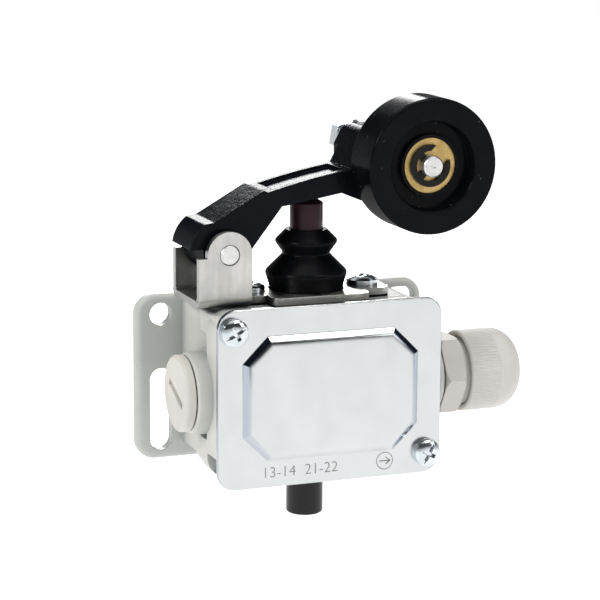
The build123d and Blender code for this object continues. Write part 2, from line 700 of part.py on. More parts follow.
def plunger():
    """Push rod with a domed head."""
    top = plunger_top()
    dome_centre = top - PLUNGER_DOME_R
    head = rod_z(PLUNGER_R, PLUNGER_SHOULDER_Z, top + OVER)
    head &= Pos(0, COLUMN_Y, dome_centre) * Sphere(PLUNGER_DOME_R) + rod_z(
        PLUNGER_R + OVER, PLUNGER_SHOULDER_Z - OVER, dome_centre)
    head += rod_z(STEM_R, CARRIER_TOP, PLUNGER_SHOULDER_Z)
    groove = block(-0.3, 0.3, -PLUNGER_R - OVER, -PLUNGER_R + 0.5, top - 7.0, top)
    return head - Pos(0, COLUMN_Y, 0) * Rot(0, 0, 46) * groove


def plunger_guide():
    """Bush that guides the push rod."""
    bush = rod_z(GUIDE_R - SEAT, CAVITY_TOP - 1.5, GUIDE_TOP_Z)
    return bush - rod_z(STEM_R + RUN, CAVITY_TOP - 3, GUIDE_TOP_Z + OVER)


def return_spring():
    """Spring that pushes the rod back up."""
    return coil(STEM_R + SPRING_WIRE / 2 + 0.55, SPRING_WIRE, GUIDE_TOP_Z, PLUNGER_SHOULDER_Z, 6)


# ---- lever and roller ---------------------------------------------------------------------------
def on_barrel(angle, radius=BARREL_R):
    """Point on a circle about the hinge pin."""
    return PIN_X + radius * cos(radians(angle)), PIN_Z + radius * sin(radians(angle))


def lever_outline():
    """Side view of the lever in X and Z, its points given from the hinge pin."""
    slope = tan(radians(CONTACT_SLOPE))
    left = (PIN_X - sqrt(BARREL_R ** 2 - BARREL_CUT ** 2), PIN_Z + BARREL_CUT)
    low_left = (PIN_X - LOWER_BARREL_R, PIN_Z)
    low_right = (PIN_X + LOWER_BARREL_R, PIN_Z)
    low_mid = (PIN_X, PIN_Z - LOWER_BARREL_R)
    notch = (PIN_X - NOTCH_BACK, on_barrel(126)[1] + 0.35)
    deck = LEVER_CONTACT_Z
    deck_start = (DECK_START_X, deck + DECK_START_RISE)
    deck_mid = (DECK_MID_X, deck + DECK_MID_RISE)
    deck_end = (DECK_END_X, deck + DECK_END_RISE)
    hub_top = CLAMP_Z + 5.0
    hub_low = (ROLLER_X, hub_top - 2 * HUB_R)
    curve = (
        Line((PIN_X - LOWER_BARREL_R, PIN_Z + BARREL_CUT), left)
        + ThreePointArc(left, on_barrel(150), on_barrel(126))
        + Polyline(on_barrel(126), notch, (ARM_PEAK_X, deck + ARM_PEAK_RISE), deck_start)
        + ThreePointArc(deck_start, deck_mid, deck_end)
        + Line(deck_end, (CLAMP_X - 4.6, CLAMP_Z + 2.6))
        + ThreePointArc((CLAMP_X - 4.6, CLAMP_Z + 2.6), (CLAMP_X - 3.2, CLAMP_Z + 4.3), (CLAMP_X - 0.4, hub_top))
        + Line((CLAMP_X - 0.4, hub_top), (ROLLER_X, hub_top))
        + ThreePointArc((ROLLER_X, hub_top), (ROLLER_X + HUB_R, hub_top - HUB_R), hub_low)
        + Polyline(hub_low, (UNDERSIDE_END, deck - UNDERSIDE_DROP),
                   (UNDERSIDE_END - 2.3, deck - UNDERSIDE_DROP + 0.3),
                   (PAD_RIGHT, deck + PAD_RIGHT * slope), (PAD_LEFT, deck + PAD_LEFT * slope),
                   (PAD_LEFT - 2.6, deck - 1.7),
                   (PIN_X + LOWER_BARREL_R + 1.2, PIN_Z + 0.7), low_right)
        + ThreePointArc(low_right, low_mid, low_left)
        + Line(low_left, (PIN_X - LOWER_BARREL_R, PIN_Z + BARREL_CUT)))
    return make_face(curve)


def lever():
    """Moulded lever with its hinge barrel and roller hub."""
    outline = lever_outline()
    arm = slab_y(outline, LEVER_FRONT, LEVER_BACK)
    arm += slab_y(outline, LEVER_BACK, HUB_BACK) & block(
        CLAMP_X - 6.5, ROLLER_X + HUB_R + OVER, LEVER_BACK, HUB_BACK, PIN_Z, CLAMP_Z + 9)
    channel_y = (LEVER_FRONT + LEVER_BACK) / 2
    floor = LEVER_CONTACT_Z - DECK_DEPTH
    start = (DECK_START_X + 2.0, floor + DECK_START_RISE + 0.6)
    end = (DECK_END_X - 1.6, floor + DECK_END_RISE - 0.3)
    over = floor + DECK_DEPTH + DECK_END_RISE + OVER
    channel = make_face(
        ThreePointArc(start, (DECK_MID_X, floor + DECK_MID_RISE), end)
        + Polyline(end, (end[0], over), (start[0], over), start))
    arm -= slab_y(channel, channel_y - DECK_HALF, channel_y + DECK_HALF)
    arm -= rod_y(PIN_R + BUSH_WALL + SEAT, LEVER_FRONT - OVER, LEVER_BACK + OVER, PIN_X, PIN_Z)
    arm -= rod_y(AXLE_R + SEAT, LEVER_FRONT - OVER, HUB_BACK + OVER, ROLLER_X, ROLLER_Z)
    arm -= rod_y(CLAMP_R + SEAT, LEVER_FRONT - OVER, HUB_BACK + OVER, CLAMP_X, CLAMP_Z)
    top = LEVER_FRONT + PASS
    sink = turned_y([(0, LEVER_FRONT - OVER), (CLAMP_R * 2, LEVER_FRONT - OVER), (CLAMP_R * 2, top),
                     (CLAMP_R, top + CLAMP_R), (0, top + CLAMP_R)], CLAMP_X, CLAMP_Z)
    return arm - sink


def lever_bush():
    """Plain bearing bush in the lever's barrel."""
    front = LEVER_FRONT - 0.9
    back = LEVER_BACK + GAP
    tube = rod_y(PIN_R + BUSH_WALL, front, back, PIN_X, PIN_Z)
    return tube - rod_y(PIN_R + RUN, front - OVER, back + OVER, PIN_X, PIN_Z)


def ring_groove(shaft_r, y0, x, z):
    """Groove for a retaining clip."""
    ring = rod_y(shaft_r + OVER, y0, y0 + CLIP_T, x, z)
    return ring - rod_y(shaft_r - CLIP_GROOVE, y0 - OVER, y0 + CLIP_T + OVER, x, z)


def hinge_pin():
    """Pin through both ears, grooved at the back for its clip."""
    pin = rod_y(PIN_R, EAR_FRONT - 0.2, EAR_BACK + 2.4, PIN_X, PIN_Z)
    pin = chamfer(pin.edges().group_by(Axis.Y)[0], CHAMFER)
    return pin - ring_groove(PIN_R, EAR_BACK + GAP, PIN_X, PIN_Z)


def retaining_clip(shaft_r, outer_r, y0, x, z, mouth):
    """E-shaped clip in a groove, its mouth turned to the angle given."""
    y1 = y0 + CLIP_T
    inner_r = shaft_r - CLIP_GROOVE + RUN
    lug_half = outer_r * 0.17
    mouth_half = outer_r * 0.5
    ring = rod_y(outer_r, y0, y1, 0, 0) - rod_y(outer_r * 0.72, y0 - OVER, y1 + OVER, 0, 0)
    for turn in (90, 180, 270):
        lug = block(inner_r, outer_r * 0.9, y0, y1, -lug_half, lug_half)
        ring += Rot(0, -(mouth + turn), 0) * lug
    opening = Rot(0, -mouth, 0) * block(0, outer_r + OVER, y0 - OVER, y1 + OVER, -mouth_half, mouth_half)
    return Pos(x, 0, z) * (ring - opening)


def roller():
    """Moulded roller, turned about its axle."""
    front = ROLLER_FRONT
    back = front + ROLLER_W
    bore_r = ROLLER_BUSH_R + SEAT
    hub_r = ROLLER_BUSH_R + 1.1
    hub_face = BUSH_FACE - 0.6
    floor = front + ROLLER_RECESS
    edge_r = ROLLER_RECESS_R - 0.6
    hub_back = back - 0.5
    floor_back = back - 2.0
    points = [
        (bore_r, hub_face), (hub_r, hub_face), (hub_r, floor), (edge_r, floor), (ROLLER_RECESS_R, front + 0.4),
        (ROLLER_RECESS_R + 0.4, front), (ROLLER_R, front), (ROLLER_R, back), (ROLLER_RECESS_R, back),
        (edge_r, floor_back), (hub_r + OVER, floor_back), (hub_r, hub_back), (bore_r, hub_back),
    ]
    wheel = turned_y(points, ROLLER_X, ROLLER_Z)
    rims = [e for e in wheel.edges() if abs(e.length - 2 * pi * ROLLER_R) < RUN]
    rims = [e for e in rims if min(abs(e.center().Y - front), abs(e.center().Y - back)) < RUN]
    return fillet(rims, ROLLER_EDGE)


def roller_bush():
    """Bronze bush pressed into the roller."""
    back = ROLLER_FRONT + ROLLER_W + 0.1
    bush = rod_y(ROLLER_BUSH_R, BUSH_FACE, back, ROLLER_X, ROLLER_Z)
    return bush - rod_y(AXLE_R + RUN, BUSH_FACE - OVER, back + OVER, ROLLER_X, ROLLER_Z)


def roller_axle():
    """Axle fixed in the lever's hub, with a clip groove at the front and a thread at the back."""
    front = BUSH_FACE - 3.2
    axle = rod_y(AXLE_R, front, HUB_BACK + AXLE_END, ROLLER_X, ROLLER_Z)
    axle = chamfer(axle.edges().group_by(Axis.Y)[0], CHAMFER)
    mark = rod_y(0.5, front - OVER, front + CHAMFER, ROLLER_X, ROLLER_Z)
    return axle - ring_groove(AXLE_R, BUSH_FACE - GAP - CLIP_T, ROLLER_X, ROLLER_Z) - mark


def plain_washer(bore_r, outer_r, y0, thickness, x, z):
    """Flat ring along Y."""
    ring = rod_y(outer_r, y0, y0 + thickness, x, z)
    return ring - rod_y(bore_r, y0 - OVER, y0 + thickness + OVER, x, z)


def hex_nut(flats, bore_r, y0, thickness, x, z, turn=0):
    """Hexagon nut along Y with its corners turned off."""
    y1 = y0 + thickness
    bevel = 0.6
    wide = flats / sqrt(3) + 0.3
    narrow = wide - 0.8
    nut = hexagon_y(flats, y0, y1, x, z, turn)
    nut &= turned_y([(0, y0), (narrow, y0), (wide, y0 + bevel), (wide, y1 - bevel), (narrow, y1), (0, y1)], x, z)
    return nut - rod_y(bore_r, y0 - OVER, y1 + OVER, x, z)


def clamp_bolt():
    """Countersunk bolt that closes the hub on the axle."""
    front = LEVER_FRONT + PASS
    end = HUB_BACK + AXLE_END - PASS
    head = turned_y([(0, front), (CLAMP_R * 2 - PASS, front), (CLAMP_R, front + CLAMP_R - PASS),
                     (CLAMP_R, end), (0, end)], CLAMP_X, CLAMP_Z)
    return head - hexagon_y(4.0, front - OVER, front + 2.2, CLAMP_X, CLAMP_Z)


# ---- reset button ----------------------------------------------------------------------------------
def reset_button():
    """Push button under the housing."""
    head = rod_z(BUTTON_R, BUTTON_END_Z, BUTTON_HEAD_TOP)
    head = fillet(head.edges().group_by(Axis.Z)[0], 2 * CHAMFER)
    stem = rod_z(BUTTON_STEM_R, BUTTON_HEAD_TOP, RESET_GUIDE_TOP + 2.6)
    clip_z = RESET_GUIDE_TOP + GAP
    groove = rod_z(BUTTON_STEM_R + OVER, clip_z, clip_z + CLIP_T)
    groove -= rod_z(BUTTON_STEM_R - CLIP_GROOVE, clip_z - OVER, clip_z + CLIP_T + OVER)
    return head + (stem - groove)


def reset_guide():
    """Flanged guide for the reset button."""
    bush = rod_z(COLLAR_R, COLLAR_Z, BOTTOM_Z) + rod_z(RESET_GUIDE_R - SEAT, BOTTOM_Z, RESET_GUIDE_TOP)
    bush -= rod_z(BUTTON_R + RUN, COLLAR_Z - OVER, GUIDE_BORE_TOP)
    return bush - rod_z(BUTTON_STEM_R + RUN, GUIDE_BORE_TOP - OVER, RESET_GUIDE_TOP + OVER)


def reset_spring():
    """Spring that pushes the reset button out."""
    return coil(BUTTON_STEM_R + BUTTON_WIRE / 2 + 0.85, BUTTON_WIRE, BUTTON_HEAD_TOP, GUIDE_BORE_TOP, 4.5)


def reset_clip():
    """Clip that keeps the reset button in its guide."""
    flat = retaining_clip(BUTTON_STEM_R, BUTTON_CLIP_R, 0, 0, 0, 270)
    return Pos(0, COLUMN_Y, RESET_GUIDE_TOP + GAP) * Rot(90, 0, 0) * flat


# ---- contact block ---------------------------------------------------------------------------------
def bridge(z0, tip_side):
    """Moving contact bridge with a rivet at each end."""
    strip = block(-BRIDGE_HALF, BRIDGE_HALF, COLUMN_Y - STRIP_HALF, COLUMN_Y + STRIP_HALF, z0, z0 + CONTACT_T)
    tip_z = z0 + CONTACT_T if tip_side > 0 else z0 - CONTACT_T
    for x in (-CONTACT_X, CONTACT_X):
        strip += rod_z(RIVET_R, tip_z, tip_z + CONTACT_T, x)
    return strip


def fixed_contact(side, normally_open):
    """Fixed contact strip that ends in a terminal tab at the front of the block."""
    if normally_open:
        strip_z = NO_BRIDGE_Z - TRAVEL - CONTACT_GAP - 3 * CONTACT_T
        tip_z = strip_z + CONTACT_T
        tab = (strip_z, strip_z + TAB_H)
    else:
        tip_z = NC_BRIDGE_Z + 2 * CONTACT_T + CONTACT_GAP
        strip_z = tip_z + CONTACT_T
        tab = (strip_z + CONTACT_T - TAB_H, strip_z + CONTACT_T)
    inner = side * (CONTACT_X - 2)
    rail = side * (TERMINAL_X - TERMINAL_HALF)
    outer = side * (TERMINAL_X + TERMINAL_HALF)
    front = CASE_FRONT - CONTACT_T
    top = strip_z + CONTACT_T
    piece = block(inner, outer, COLUMN_Y - STRIP_HALF, COLUMN_Y + STRIP_HALF, strip_z, top)
    piece += block(rail, outer, front, COLUMN_Y - STRIP_HALF + 0.5, strip_z, top)
    piece += block(rail, outer, front, CASE_FRONT, *tab)
    piece += rod_z(RIVET_R, tip_z, tip_z + CONTACT_T, side * CONTACT_X)
    return piece - rod_y(TERMINAL_R + RUN, front - OVER, CASE_FRONT + OVER, *terminal_place(side, normally_open))


def terminal_place(side, normally_open):
    """Where a terminal screw stands in X and Z."""
    from_strip = TAB_H / 2 + GAP
    if normally_open:
        z = NO_BRIDGE_Z - TRAVEL - CONTACT_GAP - 3 * CONTACT_T + from_strip
    else:
        z = NC_BRIDGE_Z + 4 * CONTACT_T + CONTACT_GAP - from_strip
    return side * TERMINAL_X, z


def contact_case():
    """Moulded case of the contact block."""
    case = block(-CASE_HALF, CASE_HALF, CASE_FRONT, -BACK_WALL, CASE_BOTTOM, CASE_TOP)
    half_y = CHAMBER_Y / 2
    case -= block(-CHAMBER_HALF, CHAMBER_HALF, COLUMN_Y - half_y, COLUMN_Y + half_y,
                  CASE_BOTTOM + CASE_WALL, CASE_TOP - CASE_WALL)
    door_x = CARRIER_X / 2 + GAP
    door_y = CARRIER_Y / 2 + GAP
    case -= block(-door_x, door_x, COLUMN_Y - door_y, COLUMN_Y + door_y, CASE_TOP - 3, CASE_TOP + OVER)
    case -= rod_z(BUTTON_STEM_R + OVER, CASE_BOTTOM - OVER, CASE_BOTTOM + CASE_WALL + OVER)
    for side, normally_open in TERMINALS.values():
        case -= fixed_contact(side, normally_open)
        place = terminal_place(side, normally_open)
        case -= rod_y(TERMINAL_R + 0.15, CASE_FRONT - OVER, CASE_FRONT + 7, *place)
    for x, z in block_screw_places():
        case -= rod_y(BLOCK_SCREW_R + PASS, CASE_FRONT - OVER, 0, x, z)
    return case


def contact_carrier():
    """Insulating carrier that holds both bridges."""
    bottom = CASE_BOTTOM + CASE_WALL + TRAVEL + 0.5
    half_x = CARRIER_X / 2
    half_y = CARRIER_Y / 2
    bar = block(-half_x, half_x, COLUMN_Y - half_y, COLUMN_Y + half_y, bottom, CARRIER_TOP)
    return bar - bridge(NO_BRIDGE_Z, -1) - bridge(NC_BRIDGE_Z, 1)


def terminal_screws():
    """Clamp screws of the four terminals."""
    made = []
    face = CASE_FRONT - CONTACT_T - CLAMP_PLATE_T
    for (side, normally_open), turn in zip(TERMINALS.values(), (10, 70, 40, 115)):
        x, z = terminal_place(side, normally_open)
        one = screw(TERMINAL_R, 6.5, TERMINAL_HEAD_R, TERMINAL_HEAD_H)
        made.append(facing_front(one, x, face, z, turn))
    return Compound(children=made)


def terminal_washers():
    """Square wire clamps under the terminal screws."""
    made = []
    back = CASE_FRONT - CONTACT_T
    half = TERMINAL_HALF
    for side, normally_open in TERMINALS.values():
        x, z = terminal_place(side, normally_open)
        plate = block(x - half, x + half, back - CLAMP_PLATE_T, back, z - half, z + half)
        made.append(plate - rod_y(TERMINAL_R + 0.1, back - 2, back + OVER, x, z))
    return Compound(children=made)


def block_screws():
    """Two long screws that hold the contact block to the back wall."""
    made = []
    for (x, z), turn in zip(block_screw_places(), (20, 75)):
        one = screw(BLOCK_SCREW_R, -CASE_FRONT - WALL, TERMINAL_HEAD_R, TERMINAL_HEAD_H)
        made.append(facing_front(one, x, CASE_FRONT, z, turn))
    return Compound(children=made)


def earth_screw():
    """Earth terminal screw."""
    one = screw(EARTH_R, 6.9, TERMINAL_HEAD_R, TERMINAL_HEAD_H)
    return facing_front(one, EARTH_X, EARTH_FACE - CLAMP_PLATE_T, EARTH_Z, 33)


def earth_washer():
    """Cup washer of the earth terminal."""
    return plain_washer(EARTH_R + 0.1, 3.0, EARTH_FACE - CLAMP_PLATE_T, CLAMP_PLATE_T, EARTH_X, EARTH_Z)


# ---- every piece by its name -----------------------------------------------------------------
def all_pieces():
    """Dictionary of node name and solid."""
    nut_y = HUB_BACK + WASHER_T
    axle_clip_y = BUSH_FACE - GAP - CLIP_T
    pieces = {
        "housing": housing(),
        "cover": cover(),
        "cover_gasket": cover_gasket(),
        "cover_washers": cover_washers(),
        "cover_screws": cover_screws(),
        "blanking_plug": blanking_plug(),
        "plug_seal": face_seal(-1),
        "gland_o_ring": face_seal(1),
        "gland_body": gland_body(),
        "gland_cage": gland_cage(),
        "gland_seal": gland_seal(),
        "gland_nut": gland_nut(),
        "lever_bracket": lever_bracket(),
        "bracket_gasket": bracket_gasket(),
        "bracket_screws": bracket_screws(),
        "boot": boot(),
        "plunger": plunger(),
        "plunger_guide": plunger_guide(),
        "return_spring": return_spring(),
        "lever": lever(),
        "lever_bush": lever_bush(),
        "hinge_pin": hinge_pin(),
        "pin_clip": retaining_clip(PIN_R, PIN_R + 2.6, EAR_BACK + GAP, PIN_X, PIN_Z, 200),
        "roller": roller(),
        "roller_bush": roller_bush(),
        "roller_axle": roller_axle(),
        "axle_clip": retaining_clip(AXLE_R, AXLE_R + 3.1, axle_clip_y, ROLLER_X, ROLLER_Z, 45),
        "axle_washer": plain_washer(AXLE_R + PASS, 6.0, HUB_BACK, WASHER_T, ROLLER_X, ROLLER_Z),
        "axle_nut": hex_nut(NUT_AF, AXLE_R + SEAT, nut_y, NUT_T, ROLLER_X, ROLLER_Z, 12),
        "clamp_bolt": clamp_bolt(),
        "clamp_washer": plain_washer(CLAMP_R + PASS, 5.2, HUB_BACK, WASHER_T, CLAMP_X, CLAMP_Z),
        "clamp_nut": hex_nut(NUT_AF, CLAMP_R + SEAT, nut_y, NUT_T, CLAMP_X, CLAMP_Z, 20),
        "reset_button": reset_button(),
        "reset_guide": reset_guide(),
        "reset_spring": reset_spring(),
        "reset_clip": reset_clip(),
        "contact_case": contact_case(),
        "contact_carrier": contact_carrier(),
        "normally_open_bridge": bridge(NO_BRIDGE_Z, -1),
        "normally_closed_bridge": bridge(NC_BRIDGE_Z, 1),
        "terminal_screws": terminal_screws(),
        "terminal_washers": terminal_washers(),
        "block_screws": block_screws(),
        "earth_screw": earth_screw(),
        "earth_washer": earth_washer(),
    }
    for number, (side, normally_open) in TERMINALS.items():
        pieces[f"fixed_contact_{number}"] = fixed_contact(side, normally_open)
    return pieces


os.makedirs("parts", exist_ok=True)
for name, solid in all_pieces().items():
    export_step(solid, f"parts/{name}.step")
    print(name, round(solid.volume, 1))
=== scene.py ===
import json
import math

import bpy
from mathutils import Matrix, Vector


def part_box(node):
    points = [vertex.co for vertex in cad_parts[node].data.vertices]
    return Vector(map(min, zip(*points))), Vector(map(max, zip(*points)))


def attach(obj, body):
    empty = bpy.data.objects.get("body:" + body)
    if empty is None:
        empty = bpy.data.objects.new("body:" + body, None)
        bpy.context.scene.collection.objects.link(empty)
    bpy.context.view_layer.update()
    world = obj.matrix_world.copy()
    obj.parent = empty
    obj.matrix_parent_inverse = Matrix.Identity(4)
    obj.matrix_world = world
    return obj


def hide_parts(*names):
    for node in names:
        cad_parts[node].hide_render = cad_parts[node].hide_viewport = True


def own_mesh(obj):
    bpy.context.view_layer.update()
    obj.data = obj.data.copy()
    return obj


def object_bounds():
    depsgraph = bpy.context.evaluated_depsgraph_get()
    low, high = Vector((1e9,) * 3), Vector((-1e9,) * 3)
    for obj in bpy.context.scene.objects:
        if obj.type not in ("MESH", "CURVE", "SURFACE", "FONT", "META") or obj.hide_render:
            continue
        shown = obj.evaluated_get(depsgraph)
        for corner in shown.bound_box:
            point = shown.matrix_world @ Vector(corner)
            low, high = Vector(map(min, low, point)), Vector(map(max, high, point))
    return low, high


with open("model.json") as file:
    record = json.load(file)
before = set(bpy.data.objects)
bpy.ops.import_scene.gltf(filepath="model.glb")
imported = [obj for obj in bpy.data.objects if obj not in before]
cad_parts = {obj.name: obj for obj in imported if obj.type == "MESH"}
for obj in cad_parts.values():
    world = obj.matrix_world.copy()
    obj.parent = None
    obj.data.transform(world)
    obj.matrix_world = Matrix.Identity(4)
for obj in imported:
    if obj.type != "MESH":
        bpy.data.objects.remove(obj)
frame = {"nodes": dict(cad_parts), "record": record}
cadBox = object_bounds()
bpy.ops.object.select_all(action="DESELECT")
print("frame loaded with", len(frame["nodes"]), "nodes")

mm = 0.001


# where things are, read from the frame
def nodeBox(name):
    low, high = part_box(name)
    return Vector(low), Vector(high)


def nodeCentre(name):
    low, high = nodeBox(name)
    return (low + high) / 2


# ---- materials ----
def addNode(tree, kind, **settings):
    made = tree.nodes.new(kind)
    for key, value in settings.items():
        setattr(made, key, value)
    return made


def newGroup(name, inputs, outputs):
    tree = bpy.data.node_groups.new(name, "ShaderNodeTree")
    for label, kind, value in inputs:
        socket = tree.interface.new_socket(name=label, in_out="INPUT", socket_type=kind)
        if value is not None:
            socket.default_value = value
    for label, kind in outputs:
        tree.interface.new_socket(name=label, in_out="OUTPUT", socket_type=kind)
    return tree, addNode(tree, "NodeGroupInput"), addNode(tree, "NodeGroupOutput")


def makeClouds():
    tree, given, out = newGroup("clouds", [("Vector", "NodeSocketVector", None),
                                           ("Scale", "NodeSocketFloat", 100.0),
                                           ("Detail", "NodeSocketFloat", 4.0),
                                           ("From", "NodeSocketFloat", 0.35),
                                           ("To", "NodeSocketFloat", 0.65)],
                                [("Value", "NodeSocketFloat")])
    noise = addNode(tree, "ShaderNodeTexNoise")
    spread = addNode(tree, "ShaderNodeMapRange")
    link = tree.links.new
    link(given.outputs["Vector"], noise.inputs["Vector"])
    link(given.outputs["Scale"], noise.inputs["Scale"])
    link(given.outputs["Detail"], noise.inputs["Detail"])
    link(noise.outputs["Fac"], spread.inputs["Value"])
    link(given.outputs["From"], spread.inputs["From Min"])
    link(given.outputs["To"], spread.inputs["From Max"])
    link(spread.outputs["Result"], out.inputs["Value"])
    return tree


def makeSpecks():
    tree, given, out = newGroup("specks", [("Vector", "NodeSocketVector", None),
                                           ("Scale", "NodeSocketFloat", 400.0),
                                           ("Size", "NodeSocketFloat", 0.12)],
                                [("Mask", "NodeSocketFloat")])
    cells = addNode(tree, "ShaderNodeTexVoronoi")
    rare = addNode(tree, "ShaderNodeTexNoise")
    near = addNode(tree, "ShaderNodeMath", operation="LESS_THAN")
    some = addNode(tree, "ShaderNodeMath", operation="GREATER_THAN")
    both = addNode(tree, "ShaderNodeMath", operation="MULTIPLY")
    some.inputs[1].default_value = 0.56
    link = tree.links.new
    link(given.outputs["Vector"], cells.inputs["Vector"])
    link(given.outputs["Scale"], cells.inputs["Scale"])
    link(given.outputs["Vector"], rare.inputs["Vector"])
    link(given.outputs["Scale"], rare.inputs["Scale"])
    link(cells.outputs["Distance"], near.inputs[0])
    link(given.outputs["Size"], near.inputs[1])
    link(rare.outputs["Fac"], some.inputs[0])
    link(near.outputs[0], both.inputs[0])
    link(some.outputs[0], both.inputs[1])
    link(both.outputs[0], out.inputs["Mask"])
    return tree


def makeEdges():
    tree, given, out = newGroup("edges", [("Vector", "NodeSocketVector", None),
                                          ("Radius", "NodeSocketFloat", 0.0005),
                                          ("Break", "NodeSocketFloat", 300.0)],
                                [("Mask", "NodeSocketFloat")])
    rounded = addNode(tree, "ShaderNodeBevel", samples=4)
    true = addNode(tree, "ShaderNodeNewGeometry")
    dot = addNode(tree, "ShaderNodeVectorMath", operation="DOT_PRODUCT")
    bend = addNode(tree, "ShaderNodeMapRange")
    bend.inputs["From Min"].default_value = 0.985
    bend.inputs["From Max"].default_value = 0.86
    noise = addNode(tree, "ShaderNodeTexNoise")
    patchy = addNode(tree, "ShaderNodeMapRange")
    patchy.inputs["From Min"].default_value = 0.42
    patchy.inputs["From Max"].default_value = 0.62
    both = addNode(tree, "ShaderNodeMath", operation="MULTIPLY")
    link = tree.links.new
    link(given.outputs["Radius"], rounded.inputs["Radius"])
    link(rounded.outputs["Normal"], dot.inputs[0])
    link(true.outputs["True Normal"], dot.inputs[1])
    link(dot.outputs["Value"], bend.inputs["Value"])
    link(given.outputs["Vector"], noise.inputs["Vector"])
    link(given.outputs["Break"], noise.inputs["Scale"])
    link(noise.outputs["Fac"], patchy.inputs["Value"])
    link(bend.outputs["Result"], both.inputs[0])
    link(patchy.outputs["Result"], both.inputs[1])
    link(both.outputs[0], out.inputs["Mask"])
    return tree


def makeRibs():
    tree, given, out = newGroup("ribs", [("Vector", "NodeSocketVector", None),
                                         ("Centre Y", "NodeSocketFloat", 0.0),
                                         ("Centre Z", "NodeSocketFloat", 0.0),
                                         ("Count", "NodeSocketFloat", 90.0),
                                         ("From", "NodeSocketFloat", 0.0),
                                         ("To", "NodeSocketFloat", 1.0)],
                                [("Value", "NodeSocketFloat")])
    link = tree.links.new
    split = addNode(tree, "ShaderNodeSeparateXYZ")
    link(given.outputs["Vector"], split.inputs[0])

    def combine(operation, first, second=None):
        made = addNode(tree, "ShaderNodeMath", operation=operation)
        link(first, made.inputs[0])
        if second is not None:
            link(second, made.inputs[1])
        return made.outputs[0]

    across = combine("SUBTRACT", split.outputs["Y"], given.outputs["Centre Y"])
    up = combine("SUBTRACT", split.outputs["Z"], given.outputs["Centre Z"])
    wave = combine("SINE", combine("MULTIPLY", combine("ARCTAN2", up, across), given.outputs["Count"]))
    inside = combine("MULTIPLY", combine("GREATER_THAN", split.outputs["X"], given.outputs["From"]),
                     combine("LESS_THAN", split.outputs["X"], given.outputs["To"]))
    link(combine("MULTIPLY", wave, inside), out.inputs["Value"])
    return tree


clouds = makeClouds()
specks = makeSpecks()
edges = makeEdges()
ribs = makeRibs()


def placeGroup(tree, group, **values):
    made = addNode(tree, "ShaderNodeGroup", node_tree=group)
    for key, value in values.items():
        made.inputs[key].default_value = value
    return made


def blendColour(tree, factor, first, second):
    mix = addNode(tree, "ShaderNodeMix", data_type="RGBA")
    for socket, value in ((mix.inputs[6], first), (mix.inputs[7], second)):
        if isinstance(value, tuple):
            socket.default_value = (*value, 1.0)
        else:
            tree.links.new(value, socket)
    tree.links.new(factor, mix.inputs[0])
    return mix.outputs[2]


def scaled(tree, socket, amount):
    by = addNode(tree, "ShaderNodeMath", operation="MULTIPLY")
    by.inputs[1].default_value = amount
    tree.links.new(socket, by.inputs[0])
    return by.outputs[0]


def ranged(tree, socket, span, result=(0.0, 1.0)):
    made = addNode(tree, "ShaderNodeMapRange")
    made.inputs["From Min"].default_value, made.inputs["From Max"].default_value = span
    made.inputs["To Min"].default_value, made.inputs["To Max"].default_value = result
    tree.links.new(socket, made.inputs["Value"])
    return made.outputs["Result"]


def coordinates(tree, socket):
    made = addNode(tree, "ShaderNodeSeparateXYZ")
    tree.links.new(socket, made.inputs[0])
    return made.outputs


